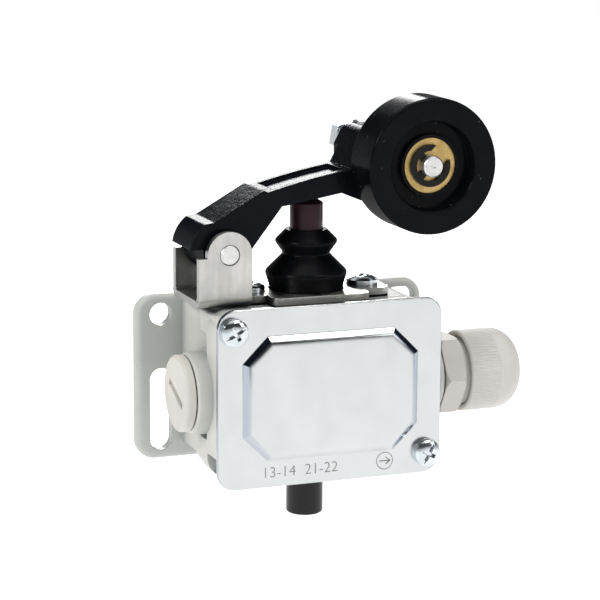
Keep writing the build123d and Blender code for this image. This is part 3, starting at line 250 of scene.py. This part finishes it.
def makeFinish(name, s):
    material = bpy.data.materials.new(name)
    material.use_nodes = True
    tree = material.node_tree
    shader = tree.nodes["Principled BSDF"]
    link = tree.links.new
    place = addNode(tree, "ShaderNodeTexCoord").outputs["Object"]
    stretch = addNode(tree, "ShaderNodeMapping")
    stretch.inputs["Scale"].default_value = s.get("stretch", (1, 1, 1))
    link(place, stretch.inputs["Vector"])
    shader.inputs["Metallic"].default_value = s.get("metal", 0.0)
    shader.inputs["Coat Weight"].default_value = s.get("coat", 0.0)
    shader.inputs["Coat Roughness"].default_value = s.get("coatRough", 0.1)
    shader.inputs["Specular IOR Level"].default_value = s.get("specular", 0.5)
    # colour: two tones in clouds, then specks, then worn edges
    tone = placeGroup(tree, clouds, Scale=s.get("cloudScale", 90.0))
    link(place, tone.inputs["Vector"])
    colour = blendColour(tree, tone.outputs["Value"], s["colour"], s["second"])
    grain = placeGroup(tree, clouds, Scale=s.get("grainScale", 1500.0), Detail=5.0, From=0.3, To=0.7)
    link(stretch.outputs["Vector"], grain.inputs["Vector"])
    if s.get("streak"):
        mask = scaled(tree, grain.outputs["Value"], s["streak"])
        colour = blendColour(tree, mask, colour, s["streakColour"])
    if s.get("specks"):
        dots = placeGroup(tree, specks, Scale=s.get("speckScale", 500.0), Size=s["specks"])
        link(place, dots.inputs["Vector"])
        colour = blendColour(tree, scaled(tree, dots.outputs["Mask"], s.get("speckStrength", 0.7)), colour,
                             s["speckColour"])
    if s.get("wear"):
        worn = placeGroup(tree, edges, Radius=s["wearRadius"], Break=350.0)
        link(place, worn.inputs["Vector"])
        colour = blendColour(tree, scaled(tree, worn.outputs["Mask"], s["wear"]), colour, s["wearColour"])
    # painted dark reflections and shade: pressed sides that face left or right, and the upper corners
    # between them and the top, darkened by the way they face
    if s.get("slope"):
        lean = coordinates(tree, addNode(tree, "ShaderNodeNewGeometry").outputs["Normal"])
        aside = addNode(tree, "ShaderNodeMath", operation="ABSOLUTE")
        link(lean["X"], aside.inputs[0])
        mask = scaled(tree, ranged(tree, aside.outputs[0], s["slopeFrom"]), s["slope"])
        colour = blendColour(tree, mask, colour, s["slopeColour"])
        upAndAside = addNode(tree, "ShaderNodeMath", operation="MULTIPLY")
        link(aside.outputs[0], upAndAside.inputs[0])
        link(lean["Z"], upAndAside.inputs[1])
        mask = ranged(tree, upAndAside.outputs[0], s["cornerShadeFrom"])
        colour = blendColour(tree, mask, colour, s["cornerShadeColour"])
    # painted shade: the side next to the wall darkened grey-green, standing in for the body's shadow on the
    # flange
    if s.get("back"):
        mask = scaled(tree, ranged(tree, coordinates(tree, place)["Y"], s["wallShadeFrom"]), s["back"])
        colour = blendColour(tree, mask, colour, s["wallShadeColour"])
    # painted shade: hollows and corners darkened by ambient occlusion
    if s.get("cavity"):
        closed = addNode(tree, "ShaderNodeAmbientOcclusion", samples=8)
        closed.inputs["Distance"].default_value = s["cavity"]
        shadeMask = ranged(tree, closed.outputs["AO"], s["cavityFrom"], (1.0, 0.0))
        colour = blendColour(tree, shadeMask, colour, s["cavityColour"])
    link(colour, shader.inputs["Base Color"])
    # roughness from its own clouds
    smear = placeGroup(tree, clouds, Scale=s.get("smearScale", 160.0), From=0.3, To=0.7)
    link(stretch.outputs["Vector"], smear.inputs["Vector"])
    link(ranged(tree, smear.outputs["Value"], (0.0, 1.0), s["rough"]), shader.inputs["Roughness"])
    # relief
    bump = addNode(tree, "ShaderNodeBump")
    bump.inputs["Distance"].default_value = s.get("depth", 0.00002)
    bump.inputs["Strength"].default_value = s.get("bump", 0.3)
    link(grain.outputs["Value"], bump.inputs["Height"])
    if s.get("soften"):
        rounded = addNode(tree, "ShaderNodeBevel", samples=4)
        rounded.inputs["Radius"].default_value = s["soften"]
        link(rounded.outputs["Normal"], bump.inputs["Normal"])
    relief = bump.outputs["Normal"]
    if s.get("ribs"):
        fins = placeGroup(tree, ribs, **s["ribs"])
        link(place, fins.inputs["Vector"])
        finBump = addNode(tree, "ShaderNodeBump")
        finBump.inputs["Distance"].default_value = s["ribDepth"]
        link(fins.outputs["Value"], finBump.inputs["Height"])
        link(relief, finBump.inputs["Normal"])
        relief = finBump.outputs["Normal"]
    link(relief, shader.inputs["Normal"])
    link(relief, shader.inputs["Coat Normal"])
    return material


glandLow, glandHigh = nodeBox("gland_nut")
glandMid = (glandLow + glandHigh) / 2


finishes = {
    "paintedCasting": dict(colour=(0.66, 0.65, 0.61), second=(0.58, 0.58, 0.545), cloudScale=60.0,
                           rough=(0.38, 0.52), grainScale=1100.0, depth=0.00004, bump=0.35, soften=0.0008,
                           specks=0.13, speckScale=520.0, speckColour=(0.25, 0.26, 0.24), speckStrength=0.35,
                           wear=0.25, wearColour=(0.78, 0.77, 0.73), wearRadius=0.0009, specular=0.35,
                           # painted shade: the flange next to the wall darkened for the body's shadow
                           back=0.4, wallShadeFrom=(-0.0062, -0.0048), wallShadeColour=(0.33, 0.37, 0.355),
                           # painted shade from ambient occlusion, darkest where the flange meets the body
                           cavity=0.012, cavityFrom=(0.25, 0.85), cavityColour=(0.33, 0.36, 0.35)),
    "zincSheet": dict(colour=(0.64, 0.655, 0.655), second=(0.60, 0.618, 0.618), cloudScale=90.0, metal=1.0,
                      rough=(0.17, 0.27), grainScale=500.0, stretch=(1, 1, 0.5), depth=0.000006, bump=0.2,
                      streak=0.12, streakColour=(0.60, 0.62, 0.62), soften=0.0003, smearScale=110.0,
                      # painted dark reflections on the panel's pressed sides and on its upper diagonal
                      # corners
                      slope=0.7, slopeFrom=(0.12, 0.5), slopeColour=(0.34, 0.38, 0.45),
                      cornerShadeFrom=(0.04, 0.13), cornerShadeColour=(0.045, 0.065, 0.09)),
    "zincBracket": dict(colour=(0.68, 0.67, 0.645), second=(0.54, 0.54, 0.52), cloudScale=130.0, metal=1.0,
                        rough=(0.24, 0.42), grainScale=700.0, stretch=(1, 1, 0.12), depth=0.00001, bump=0.35,
                        streak=0.45, streakColour=(0.44, 0.43, 0.39), soften=0.0003,
                        # painted shade from ambient occlusion inside the bracket's U and on the plate under
                        # the boot
                        cavity=0.015, cavityFrom=(0.28, 0.6), cavityColour=(0.035, 0.042, 0.046),
                        # painted shade on the bracket's faces turned sideways and on its upper bends
                        slope=0.6, slopeFrom=(0.5, 0.95), slopeColour=(0.20, 0.21, 0.21),
                        cornerShadeFrom=(0.5, 0.9), cornerShadeColour=(0.30, 0.31, 0.28)),
    "zincScrew": dict(colour=(0.72, 0.76, 0.78), second=(0.60, 0.65, 0.68), cloudScale=300.0, metal=1.0,
                      rough=(0.12, 0.26), grainScale=1500.0, depth=0.00001, bump=0.2, soften=0.0002,
                       # painted shade from ambient occlusion in the screw heads' cross recesses
                       cavity=0.0012, cavityFrom=(0.15, 0.6), cavityColour=(0.06, 0.065, 0.075)),
    "brightPin": dict(colour=(0.80, 0.80, 0.79), second=(0.68, 0.68, 0.67), cloudScale=500.0, metal=1.0,
                      rough=(0.30, 0.48), grainScale=1800.0, depth=0.00003, bump=0.5, soften=0.0002,
                      specks=0.2, speckScale=900.0, speckColour=(0.35, 0.35, 0.35)),
    "springSteel": dict(colour=(0.012, 0.012, 0.012), second=(0.008, 0.008, 0.009), cloudScale=300.0,
                        metal=0.2, rough=(0.3, 0.45), specular=0.2),
    "blackLever": dict(colour=(0.0028, 0.0034, 0.0050), second=(0.0040, 0.0050, 0.0075), cloudScale=120.0,
                       rough=(0.12, 0.26), grainScale=700.0, depth=0.00006, bump=0.5, soften=0.0006,
                       specular=0.0, coat=0.14, coatRough=0.2, wear=0.4, wearColour=(0.030, 0.034, 0.042),
                       wearRadius=0.0006,
                       specks=0.1, speckScale=600.0, speckColour=(0.05, 0.055, 0.065), speckStrength=0.4),
    "blackRoller": dict(colour=(0.0030, 0.0034, 0.0042), second=(0.0045, 0.005, 0.006), cloudScale=150.0,
                        rough=(0.16, 0.30), grainScale=1100.0, depth=0.00002, bump=0.35, soften=0.0005,
                        specular=0.0, coat=0.12, coatRough=0.16, specks=0.12, speckScale=380.0,
                        speckColour=(0.09, 0.10, 0.11),
                        speckStrength=0.4),
    "blackRubber": dict(colour=(0.0028, 0.003, 0.0036), second=(0.005, 0.0052, 0.006), cloudScale=200.0,
                        rough=(0.30, 0.46), grainScale=1300.0, depth=0.00003, bump=0.4, specular=0.0,
                        coat=0.15, coatRough=0.3),
    "maroonPlastic": dict(colour=(0.030, 0.007, 0.014), second=(0.020, 0.005, 0.010), cloudScale=200.0,
                          rough=(0.35, 0.5), grainScale=1200.0, depth=0.00002, bump=0.3, soften=0.0003,
                          specular=0.25),
    "creamPlastic": dict(colour=(0.66, 0.635, 0.585), second=(0.60, 0.58, 0.535), cloudScale=70.0,
                         rough=(0.32, 0.45), grainScale=1000.0, depth=0.00002, bump=0.25, soften=0.0004,
                         specular=0.35),
    "greyPlastic": dict(colour=(0.63, 0.61, 0.57), second=(0.56, 0.545, 0.505), cloudScale=70.0,
                        rough=(0.34, 0.48), grainScale=900.0, depth=0.00003, bump=0.3, soften=0.0004,
                        specular=0.3),
    "ribbedPlastic": dict(colour=(0.63, 0.61, 0.57), second=(0.56, 0.545, 0.505), cloudScale=70.0,
                          rough=(0.34, 0.48), grainScale=900.0, depth=0.00003, bump=0.3, specular=0.3,
                          ribs={"Centre Y": glandMid.y, "Centre Z": glandMid.z, "Count": 84.0,
                                "From": glandLow.x + 0.8 * mm, "To": glandLow.x + 9.5 * mm},
                          ribDepth=0.00007),
    "blackButton": dict(colour=(0.004, 0.004, 0.0045), second=(0.006, 0.006, 0.0065), cloudScale=150.0,
                        rough=(0.16, 0.3), grainScale=900.0, specular=0.3),
    "bronze": dict(colour=(0.60, 0.43, 0.18), second=(0.46, 0.31, 0.11), cloudScale=400.0, metal=1.0,
                   rough=(0.34, 0.5), grainScale=1600.0, depth=0.00003, bump=0.6,
                   specks=0.2, speckScale=700.0, speckColour=(0.22, 0.13, 0.05), speckStrength=0.6),
    "blockPlastic": dict(colour=(0.012, 0.012, 0.013), second=(0.018, 0.018, 0.02), rough=(0.45, 0.6),
                         specular=0.25),
    "contactBrass": dict(colour=(0.70, 0.52, 0.24), second=(0.60, 0.44, 0.20), metal=1.0, rough=(0.25, 0.4)),
    "plainSteel": dict(colour=(0.62, 0.63, 0.64), second=(0.52, 0.53, 0.54), metal=1.0, rough=(0.25, 0.4)),
    "engraving": dict(colour=(0.22, 0.22, 0.22), second=(0.34, 0.34, 0.34), cloudScale=500.0,
                      rough=(0.5, 0.7), specular=0.2),
}
material = {name: makeFinish(name, settings) for name, settings in finishes.items()}

finishOfSlot = {
    "painted_casting": "paintedCasting",
    "zinc_plate": "zincSheet",
    "zinc_screws": "zincScrew",
    "bright_steel": "brightPin",
    "spring_steel": "springSteel",
    "black_lever": "blackLever",
    "black_roller": "blackRoller",
    "black_rubber": "blackRubber",
    "maroon_plastic": "maroonPlastic",
    "cream_plastic": "creamPlastic",
    "grey_plastic": "greyPlastic",
    "black_button": "blackButton",
    "guide_plastic": "blockPlastic",
    "bronze": "bronze",
    "block_plastic": "blockPlastic",
    "contact_brass": "contactBrass",
    "terminal_steel": "plainSteel",
}
for part in frame["record"]["subparts"]:
    node = frame["nodes"][part["node"]]
    finish = "zincBracket" if part["node"] == "lever_bracket" else finishOfSlot[part["material_slot"]]
    node.data.materials.clear()
    node.data.materials.append(material[finish])
print("materials made:", len(material))


# ---- pieces ----
def editMode():
    bpy.ops.object.mode_set(mode="EDIT")


def objectMode():
    bpy.ops.object.mode_set(mode="OBJECT")


def pickOnly(*pieces):
    bpy.ops.object.select_all(action="DESELECT")
    for piece in pieces:
        piece.select_set(True)
    bpy.context.view_layer.objects.active = pieces[0]


def applyModifier(kind, **settings):
    piece = bpy.context.object
    bpy.ops.object.modifier_add(type=kind)
    modifier = piece.modifiers[-1]
    for key, value in settings.items():
        setattr(modifier, key, value)
    bpy.ops.object.modifier_apply(modifier=modifier.name)


def handOver(name, finish, body, nodes=(), angle=30.0):
    piece = bpy.context.object
    piece.name = name
    pickOnly(piece)
    bpy.ops.object.transform_apply(location=True, rotation=True, scale=True)
    bpy.ops.object.shade_smooth_by_angle(angle=math.radians(angle))
    piece.data.materials.clear()
    piece.data.materials.append(material[finish])
    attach(piece, body)
    if nodes:
        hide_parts(*nodes)
    print("made", name, len(piece.data.polygons))
    return piece


def turnedPiece(points, steps, place, turn=(0, 0, 0)):
    bpy.ops.mesh.primitive_plane_add(size=0.001)
    piece = bpy.context.object
    editMode()
    bpy.ops.mesh.merge(type="CENTER")
    first = points[0]
    bpy.ops.transform.translate(value=(first[0], 0, first[1]))
    for start, end in zip(points, points[1:] + [first]):
        step = (end[0] - start[0], 0, end[1] - start[1])
        bpy.ops.mesh.extrude_region_move(TRANSFORM_OT_translate={"value": step})
    bpy.ops.mesh.select_all(action="SELECT")
    bpy.ops.mesh.remove_doubles(threshold=1e-7)
    bpy.ops.mesh.spin(steps=steps, angle=2 * math.pi, center=(0, 0, 0), axis=(0, 0, 1))
    bpy.ops.mesh.select_all(action="SELECT")
    bpy.ops.mesh.remove_doubles(threshold=1e-6)
    bpy.ops.mesh.normals_make_consistent(inside=False)
    objectMode()
    piece.location = place
    piece.rotation_euler = turn
    return piece


def arcPoints(centre, radius, first, last, count):
    made = []
    for i in range(count + 1):
        angle = math.radians(first + (last - first) * i / count)
        made.append((centre[0] + radius * math.cos(angle), centre[1] + radius * math.sin(angle)))
    return made


# cover: a flat rim bridged to an octagonal opening, and a panel pressed out of it in soft steps
cover = {
    "corner": 5.5 * mm,
    "panelMargin": (14.3 * mm, 15.3 * mm),
    "panelDrop": 0.2 * mm,
    "cut": 7.9 * mm,
    "pressing": [(0.35, 0.00), (0.10, 0.04), (0.14, 0.10), (0.85, 0.62), (0.85, 0.50), (0.35, 0.14),
                 (0.50, 0.07), (0.80, 0.03)],
    "border": 0.45 * mm,
    "thickness": 1.5 * mm,
    "edge": 0.35 * mm,
}


def addOutline(width, height, corner, segments, drop=0.0):
    bpy.ops.mesh.primitive_plane_add(size=1.0)
    bpy.ops.transform.resize(value=(width, height, 1))
    if drop:
        bpy.ops.transform.translate(value=(0, -drop, 0))
    bpy.ops.mesh.bevel(offset=corner, segments=segments, affect="VERTICES", offset_type="OFFSET")


def makeCover(s):
    low, high = nodeBox("cover")
    width, height = high.x - low.x, high.z - low.z
    face = high.y - s["thickness"]
    place = ((low.x + high.x) / 2, face, (low.z + high.z) / 2)
    turn = (math.radians(90), 0, 0)
    panelW, panelH = width - s["panelMargin"][0], height - s["panelMargin"][1]
    bpy.ops.mesh.primitive_plane_add(size=1.0)
    rim = bpy.context.object
    editMode()
    bpy.ops.mesh.delete(type="VERT")
    addOutline(width, height, s["corner"], 10)
    bpy.ops.mesh.delete(type="ONLY_FACE")
    addOutline(panelW, panelH, s["cut"], 1, s["panelDrop"])
    bpy.ops.mesh.delete(type="ONLY_FACE")
    bpy.ops.mesh.select_all(action="SELECT")
    bpy.ops.mesh.bridge_edge_loops()
    bpy.ops.mesh.inset(thickness=s["border"], depth=0.0, use_boundary=True, use_even_offset=True)
    objectMode()
    bpy.ops.mesh.primitive_plane_add(size=1.0)
    panel = bpy.context.object
    editMode()
    bpy.ops.mesh.delete(type="VERT")
    addOutline(panelW, panelH, s["cut"], 1, s["panelDrop"])
    for inset, rise in s["pressing"]:
        bpy.ops.mesh.inset(thickness=inset * mm, depth=rise * mm, use_even_offset=True)
    objectMode()
    pickOnly(rim, panel)
    bpy.ops.object.join()
    editMode()
    bpy.ops.mesh.select_all(action="SELECT")
    bpy.ops.mesh.remove_doubles(threshold=1e-6)
    bpy.ops.mesh.normals_make_consistent(inside=False)
    objectMode()
    rim.location = place
    rim.rotation_euler = turn
    pickOnly(rim)
    bpy.ops.object.transform_apply(location=True, rotation=True, scale=True)
    lowest = min(vertex.co.y for vertex in rim.data.vertices)
    if rim.data.polygons[0].normal.y > 0:
        editMode()
        bpy.ops.mesh.select_all(action="SELECT")
        bpy.ops.mesh.flip_normals()
        objectMode()
    print("cover front at", round(lowest * 1000, 2))
    applyModifier("SOLIDIFY", thickness=s["thickness"], offset=-1.0)
    applyModifier("BEVEL", width=s["edge"], segments=3, limit_method="ANGLE", angle_limit=math.radians(70))
    handOver("coverSheet", "zincSheet", "housing", ["cover"], 18.0)


# bellows: straight folds with rounded edges and fine rings, turned about the plunger
bellows = {
    "foot": (11.0, 3.2),
    "footRound": 0.5,
    "folds": [(12.3, 7.9, 1.0), (6.9, 13.3, 0.45), (9.5, 17.1, 0.9)],
    "mouth": (6.2, 20.5),
    "wall": 1.1,
    "ring": 0.07,
    "ringPitch": 0.55,
    "steps": 72,
    "still": 3.0,       # height of the foot that stays put as the rod goes down
    "keep": 0.67,
}


def foldedLine(s):
    corners = [(s["foot"][0], 0.0), s["foot"]] + [fold[:2] for fold in s["folds"]] + [s["mouth"]]
    rounds = [0.0, s["footRound"]] + [fold[2] for fold in s["folds"]] + [0.0]
    line = []
    for i, (corner, rounding) in enumerate(zip(corners, rounds)):
        if not rounding:
            line.append(corner)
            continue
        here = Vector(corner)
        before = (Vector(corners[i - 1]) - here).normalized() * rounding
        after = (Vector(corners[i + 1]) - here).normalized() * rounding
        for t in (0.0, 0.25, 0.5, 0.75, 1.0):
            line.append(tuple(here + before * (1 - t) ** 2 + after * t ** 2))
    fine = [line[0]]
    for start, end in zip(line, line[1:]):
        reach = math.dist(start, end)
        count = max(1, int(reach / s["ringPitch"]))
        across = ((end[1] - start[1]) / reach, (start[0] - end[0]) / reach)
        for k in range(1, count + 1):
            t = k / count
            lift = s["ring"] * (k % 2) if k < count else 0.0
            fine.append((start[0] + (end[0] - start[0]) * t - across[0] * lift,
                         start[1] + (end[1] - start[1]) * t - across[1] * lift))
    return fine


def makeBellows(s):
    low = nodeBox("boot")[0]
    centre = nodeCentre("boot")
    outer = foldedLine(s)
    inner = [(r - s["wall"], z) for r, z in reversed(outer)]
    points = [(r * mm, z * mm) for r, z in outer + inner]
    piece = turnedPiece(points, s["steps"], (centre.x, centre.y, low.z))
    handOver("bellows", "blackRubber", "housing", ["boot"], 40.0)
    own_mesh(piece)


# springs: a round wire swept by the screw modifier
springs = {
    "return_spring": {"joint": "plunger_slide", "wire": 0.9, "turns": 6, "keep": 0.585, "fixedEnd": "low",
                      "name": "returnSpring"},
    "reset_spring": {"joint": "reset_push", "wire": 0.7, "turns": 4, "keep": 0.50, "fixedEnd": "high",
                     "name": "resetSpring"},
}


def makeSpring(node, s):
    low, high = nodeBox(node)
    centre = nodeCentre(node)
    wire = s["wire"] * mm / 2
    radius = (high.x - low.x) / 2 - wire
    pitch = (high.z - low.z - 2 * wire) / s["turns"]
    bpy.ops.mesh.primitive_circle_add(vertices=10, radius=wire, rotation=(math.radians(90), 0, 0))
    piece = bpy.context.object
    bpy.ops.object.transform_apply(location=False, rotation=True, scale=True)
    editMode()
    bpy.ops.mesh.select_all(action="SELECT")
    bpy.ops.transform.translate(value=(radius, 0, 0))
    objectMode()
    applyModifier("SCREW", screw_offset=pitch, iterations=s["turns"], steps=24, axis="Z",
                  use_normal_calculate=True)
    editMode()
    bpy.ops.mesh.select_all(action="SELECT")
    bpy.ops.mesh.remove_doubles(threshold=1e-7)
    bpy.ops.mesh.normals_make_consistent(inside=False)
    objectMode()
    piece.location = (centre.x, centre.y, low.z + wire)
    handOver(s["name"], "springSteel", "housing", [node], 60.0)
    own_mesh(piece)


# gland nut: turned shell with a rounded end
glandNut = {"bore": 10.3, "mouth": 6.8, "dome": 7.5, "flare": 1.0, "lip": 4.0, "cone": 3.7, "edge": 0.4,
            "steps": 120}


def makeGlandNut(s):
    radius = (glandHigh.z - glandLow.z) / 2 / mm
    length = (glandHigh.x - glandLow.x) / mm
    centre = (radius - s["dome"], length - s["dome"])
    flat = s["mouth"] + s["flare"]
    last = math.degrees(math.acos((flat - centre[0]) / s["dome"]))
    points = [(s["bore"] + s["flare"], 0.0), (radius - s["edge"], 0.0), (radius, s["edge"])]
    points += arcPoints(centre, s["dome"], 0, last, 14)
    points += [(s["mouth"], length - 2 * s["flare"]), (s["mouth"], length - s["lip"]),
               (s["bore"], length - s["lip"] - s["cone"]), (s["bore"], s["flare"])]
    points = [(r * mm, z * mm) for r, z in points]
    turnedPiece(points, s["steps"], (glandLow.x, glandMid.y, glandMid.z), (0, math.radians(90), 0))
    handOver("glandCap", "ribbedPlastic", "gland_nut", ["gland_nut"], 32.0)


# shallow marks along the cover's lower edge: terminal numbers and a direction sign
marks = {"text": "13-14  21-22", "size": 4.6 * mm, "left": -21.5 * mm, "up": 2.9 * mm,
         "depth": 0.01 * mm, "sign": (17.2 * mm, 4.7 * mm), "ring": 2.55 * mm, "line": 0.14 * mm,
         "thin": -0.0368 * mm,
         "bars": [(0, 0, 3.4, 0), (1.05, 0.55, 1.7, -38), (1.05, -0.55, 1.7, 38)]}


def makeMarks(s):
    low, high = nodeBox("cover")
    face = high.y - cover["thickness"]
    facing = (math.radians(90), 0, 0)
    bpy.ops.object.text_add(location=(s["left"], face, low.z + s["up"]), rotation=facing)
    words = bpy.context.object
    words.data.body = s["text"]
    words.data.size = s["size"]
    words.data.offset = s["thin"]
    words.data.extrude = s["depth"]
    words.data.resolution_u = 4
    bpy.ops.object.convert(target="MESH")
    handOver("terminalMarks", "engraving", "housing")
    x, z = s["sign"][0], low.z + s["sign"][1]
    bpy.ops.mesh.primitive_torus_add(location=(x, face, z), rotation=facing, major_radius=s["ring"],
                                     minor_radius=s["line"], major_segments=48, minor_segments=8)
    ring = bpy.context.object
    bars = [ring]
    for dx, dz, length, tilt in s["bars"]:
        bpy.ops.mesh.primitive_cube_add(size=1.0, location=(x + dx * mm, face, z + dz * mm),
                                        rotation=(0, math.radians(-tilt), 0))
        bpy.ops.transform.resize(value=(length * mm, 2 * s["line"], 2 * s["line"]), orient_type="LOCAL")
        bars.append(bpy.context.object)
    pickOnly(*bars)
    bpy.ops.object.join()
    handOver("directionSign", "engraving", "housing")


makeCover(cover)
makeBellows(bellows)
for springNode, springSettings in springs.items():
    makeSpring(springNode, springSettings)
makeGlandNut(glandNut)
makeMarks(marks)
bpy.ops.object.select_all(action="DESELECT")


# ---- studio ----
studio = {
    "aim": (0.0024, -0.0124, 0.0227),
    "distance": 0.700,
    "azimuth": -21.2,
    "elevation": 11.41,
    "roll": 0.38,
    "lens": 138.8,
    "floorDrop": 0.045,     # the switch hangs on its wall, clear of the floor
    "floorTone": 0.35,
    "floorGlow": 0.84,
    "sky": [(0.0, 1.0), (0.50, 1.0), (0.58, 0.80), (0.63, 0.06), (0.83, 0.04), (0.87, 0.9), (1.0, 1.2)],
    "skyStrength": 0.75,
    "panels": {
        "keyPanel": dict(place=(-1.1, -0.45, 0.75), size=(0.35, 0.35), power=7.0),
        "fillPanel": dict(place=(1.0, -0.8, 0.6), size=(0.5, 0.5), power=2.0),
        "topPanel": dict(place=(0.0, 0.1, 1.1), size=(0.8, 0.4), power=5.0),
        "slopePanel": dict(place=(0.42, -0.70, 0.90), size=(0.5, 0.25), power=2.5),
        "backPanel": dict(place=(0.27, 1.0, 0.36), size=(0.35, 0.15), power=6.0),
    },
}


def addCamera(s):
    a, e = math.radians(s["azimuth"]), math.radians(s["elevation"])
    back = Vector((math.sin(a) * math.cos(e), -math.cos(a) * math.cos(e), math.sin(e)))
    bpy.ops.object.camera_add(location=Vector(s["aim"]) + back * s["distance"])
    camera = bpy.context.object
    camera.rotation_mode = "QUATERNION"
    level = (-back).to_track_quat("-Z", "Y")
    camera.rotation_quaternion = level @ Matrix.Rotation(math.radians(s["roll"]), 4, "Z").to_quaternion()
    camera.data.lens = s["lens"]
    camera.data.sensor_width = 36.0
    bpy.context.scene.camera = camera


def addPanel(name, place, size, power, aim=(0, -0.02, 0.02)):
    bpy.ops.object.light_add(type="AREA", location=place)
    lamp = bpy.context.object
    lamp.name = name
    lamp.data.shape = "RECTANGLE"
    lamp.data.size, lamp.data.size_y = size
    lamp.data.energy = power
    lamp.visible_camera = False
    lamp.rotation_euler = (Vector(aim) - Vector(place)).to_track_quat("-Z", "Y").to_euler()


def addFloor(s):
    bpy.ops.mesh.primitive_plane_add(size=8.0, location=(0, 1.5, cadBox[0].z - s["floorDrop"]))
    floor = bpy.context.object
    floor.name = "floor"
    pale = bpy.data.materials.new("paleFloor")
    pale.use_nodes = True
    shader = pale.node_tree.nodes["Principled BSDF"]
    shader.inputs["Base Color"].default_value = (s["floorTone"],) * 3 + (1,)
    shader.inputs["Roughness"].default_value = 0.9
    shader.inputs["Emission Color"].default_value = (1, 1, 1, 1)
    shader.inputs["Emission Strength"].default_value = s["floorGlow"]
    floor.data.materials.append(pale)


def lightWorld(s):
    world = bpy.data.worlds.new("studio")
    bpy.context.scene.world = world
    world.use_nodes = True
    tree = world.node_tree
    place = addNode(tree, "ShaderNodeTexCoord")
    split = addNode(tree, "ShaderNodeSeparateXYZ")
    ramp = addNode(tree, "ShaderNodeValToRGB")
    lift = addNode(tree, "ShaderNodeMapRange")
    lift.inputs["From Min"].default_value = -1.0
    stops = s["sky"]
    band = ramp.color_ramp
    band.elements[0].position, band.elements[0].color = 0.0, (stops[0][1],) * 3 + (1,)
    band.elements[1].position, band.elements[1].color = 1.0, (stops[-1][1],) * 3 + (1,)
    for at, level in stops[1:-1]:
        band.elements.new(at).color = (level, level, level * 1.02, 1)
    link = tree.links.new
    link(place.outputs["Generated"], split.inputs[0])
    link(split.outputs["Z"], lift.inputs["Value"])
    link(lift.outputs["Result"], ramp.inputs["Fac"])
    link(ramp.outputs["Color"], tree.nodes["Background"].inputs["Color"])
    tree.nodes["Background"].inputs["Strength"].default_value = s["skyStrength"]


addCamera(studio)
for panelName, panelSettings in studio["panels"].items():
    addPanel(panelName, **panelSettings)
addFloor(studio)
lightWorld(studio)
bpy.context.scene.view_settings.view_transform = "Standard"
print("studio ready")
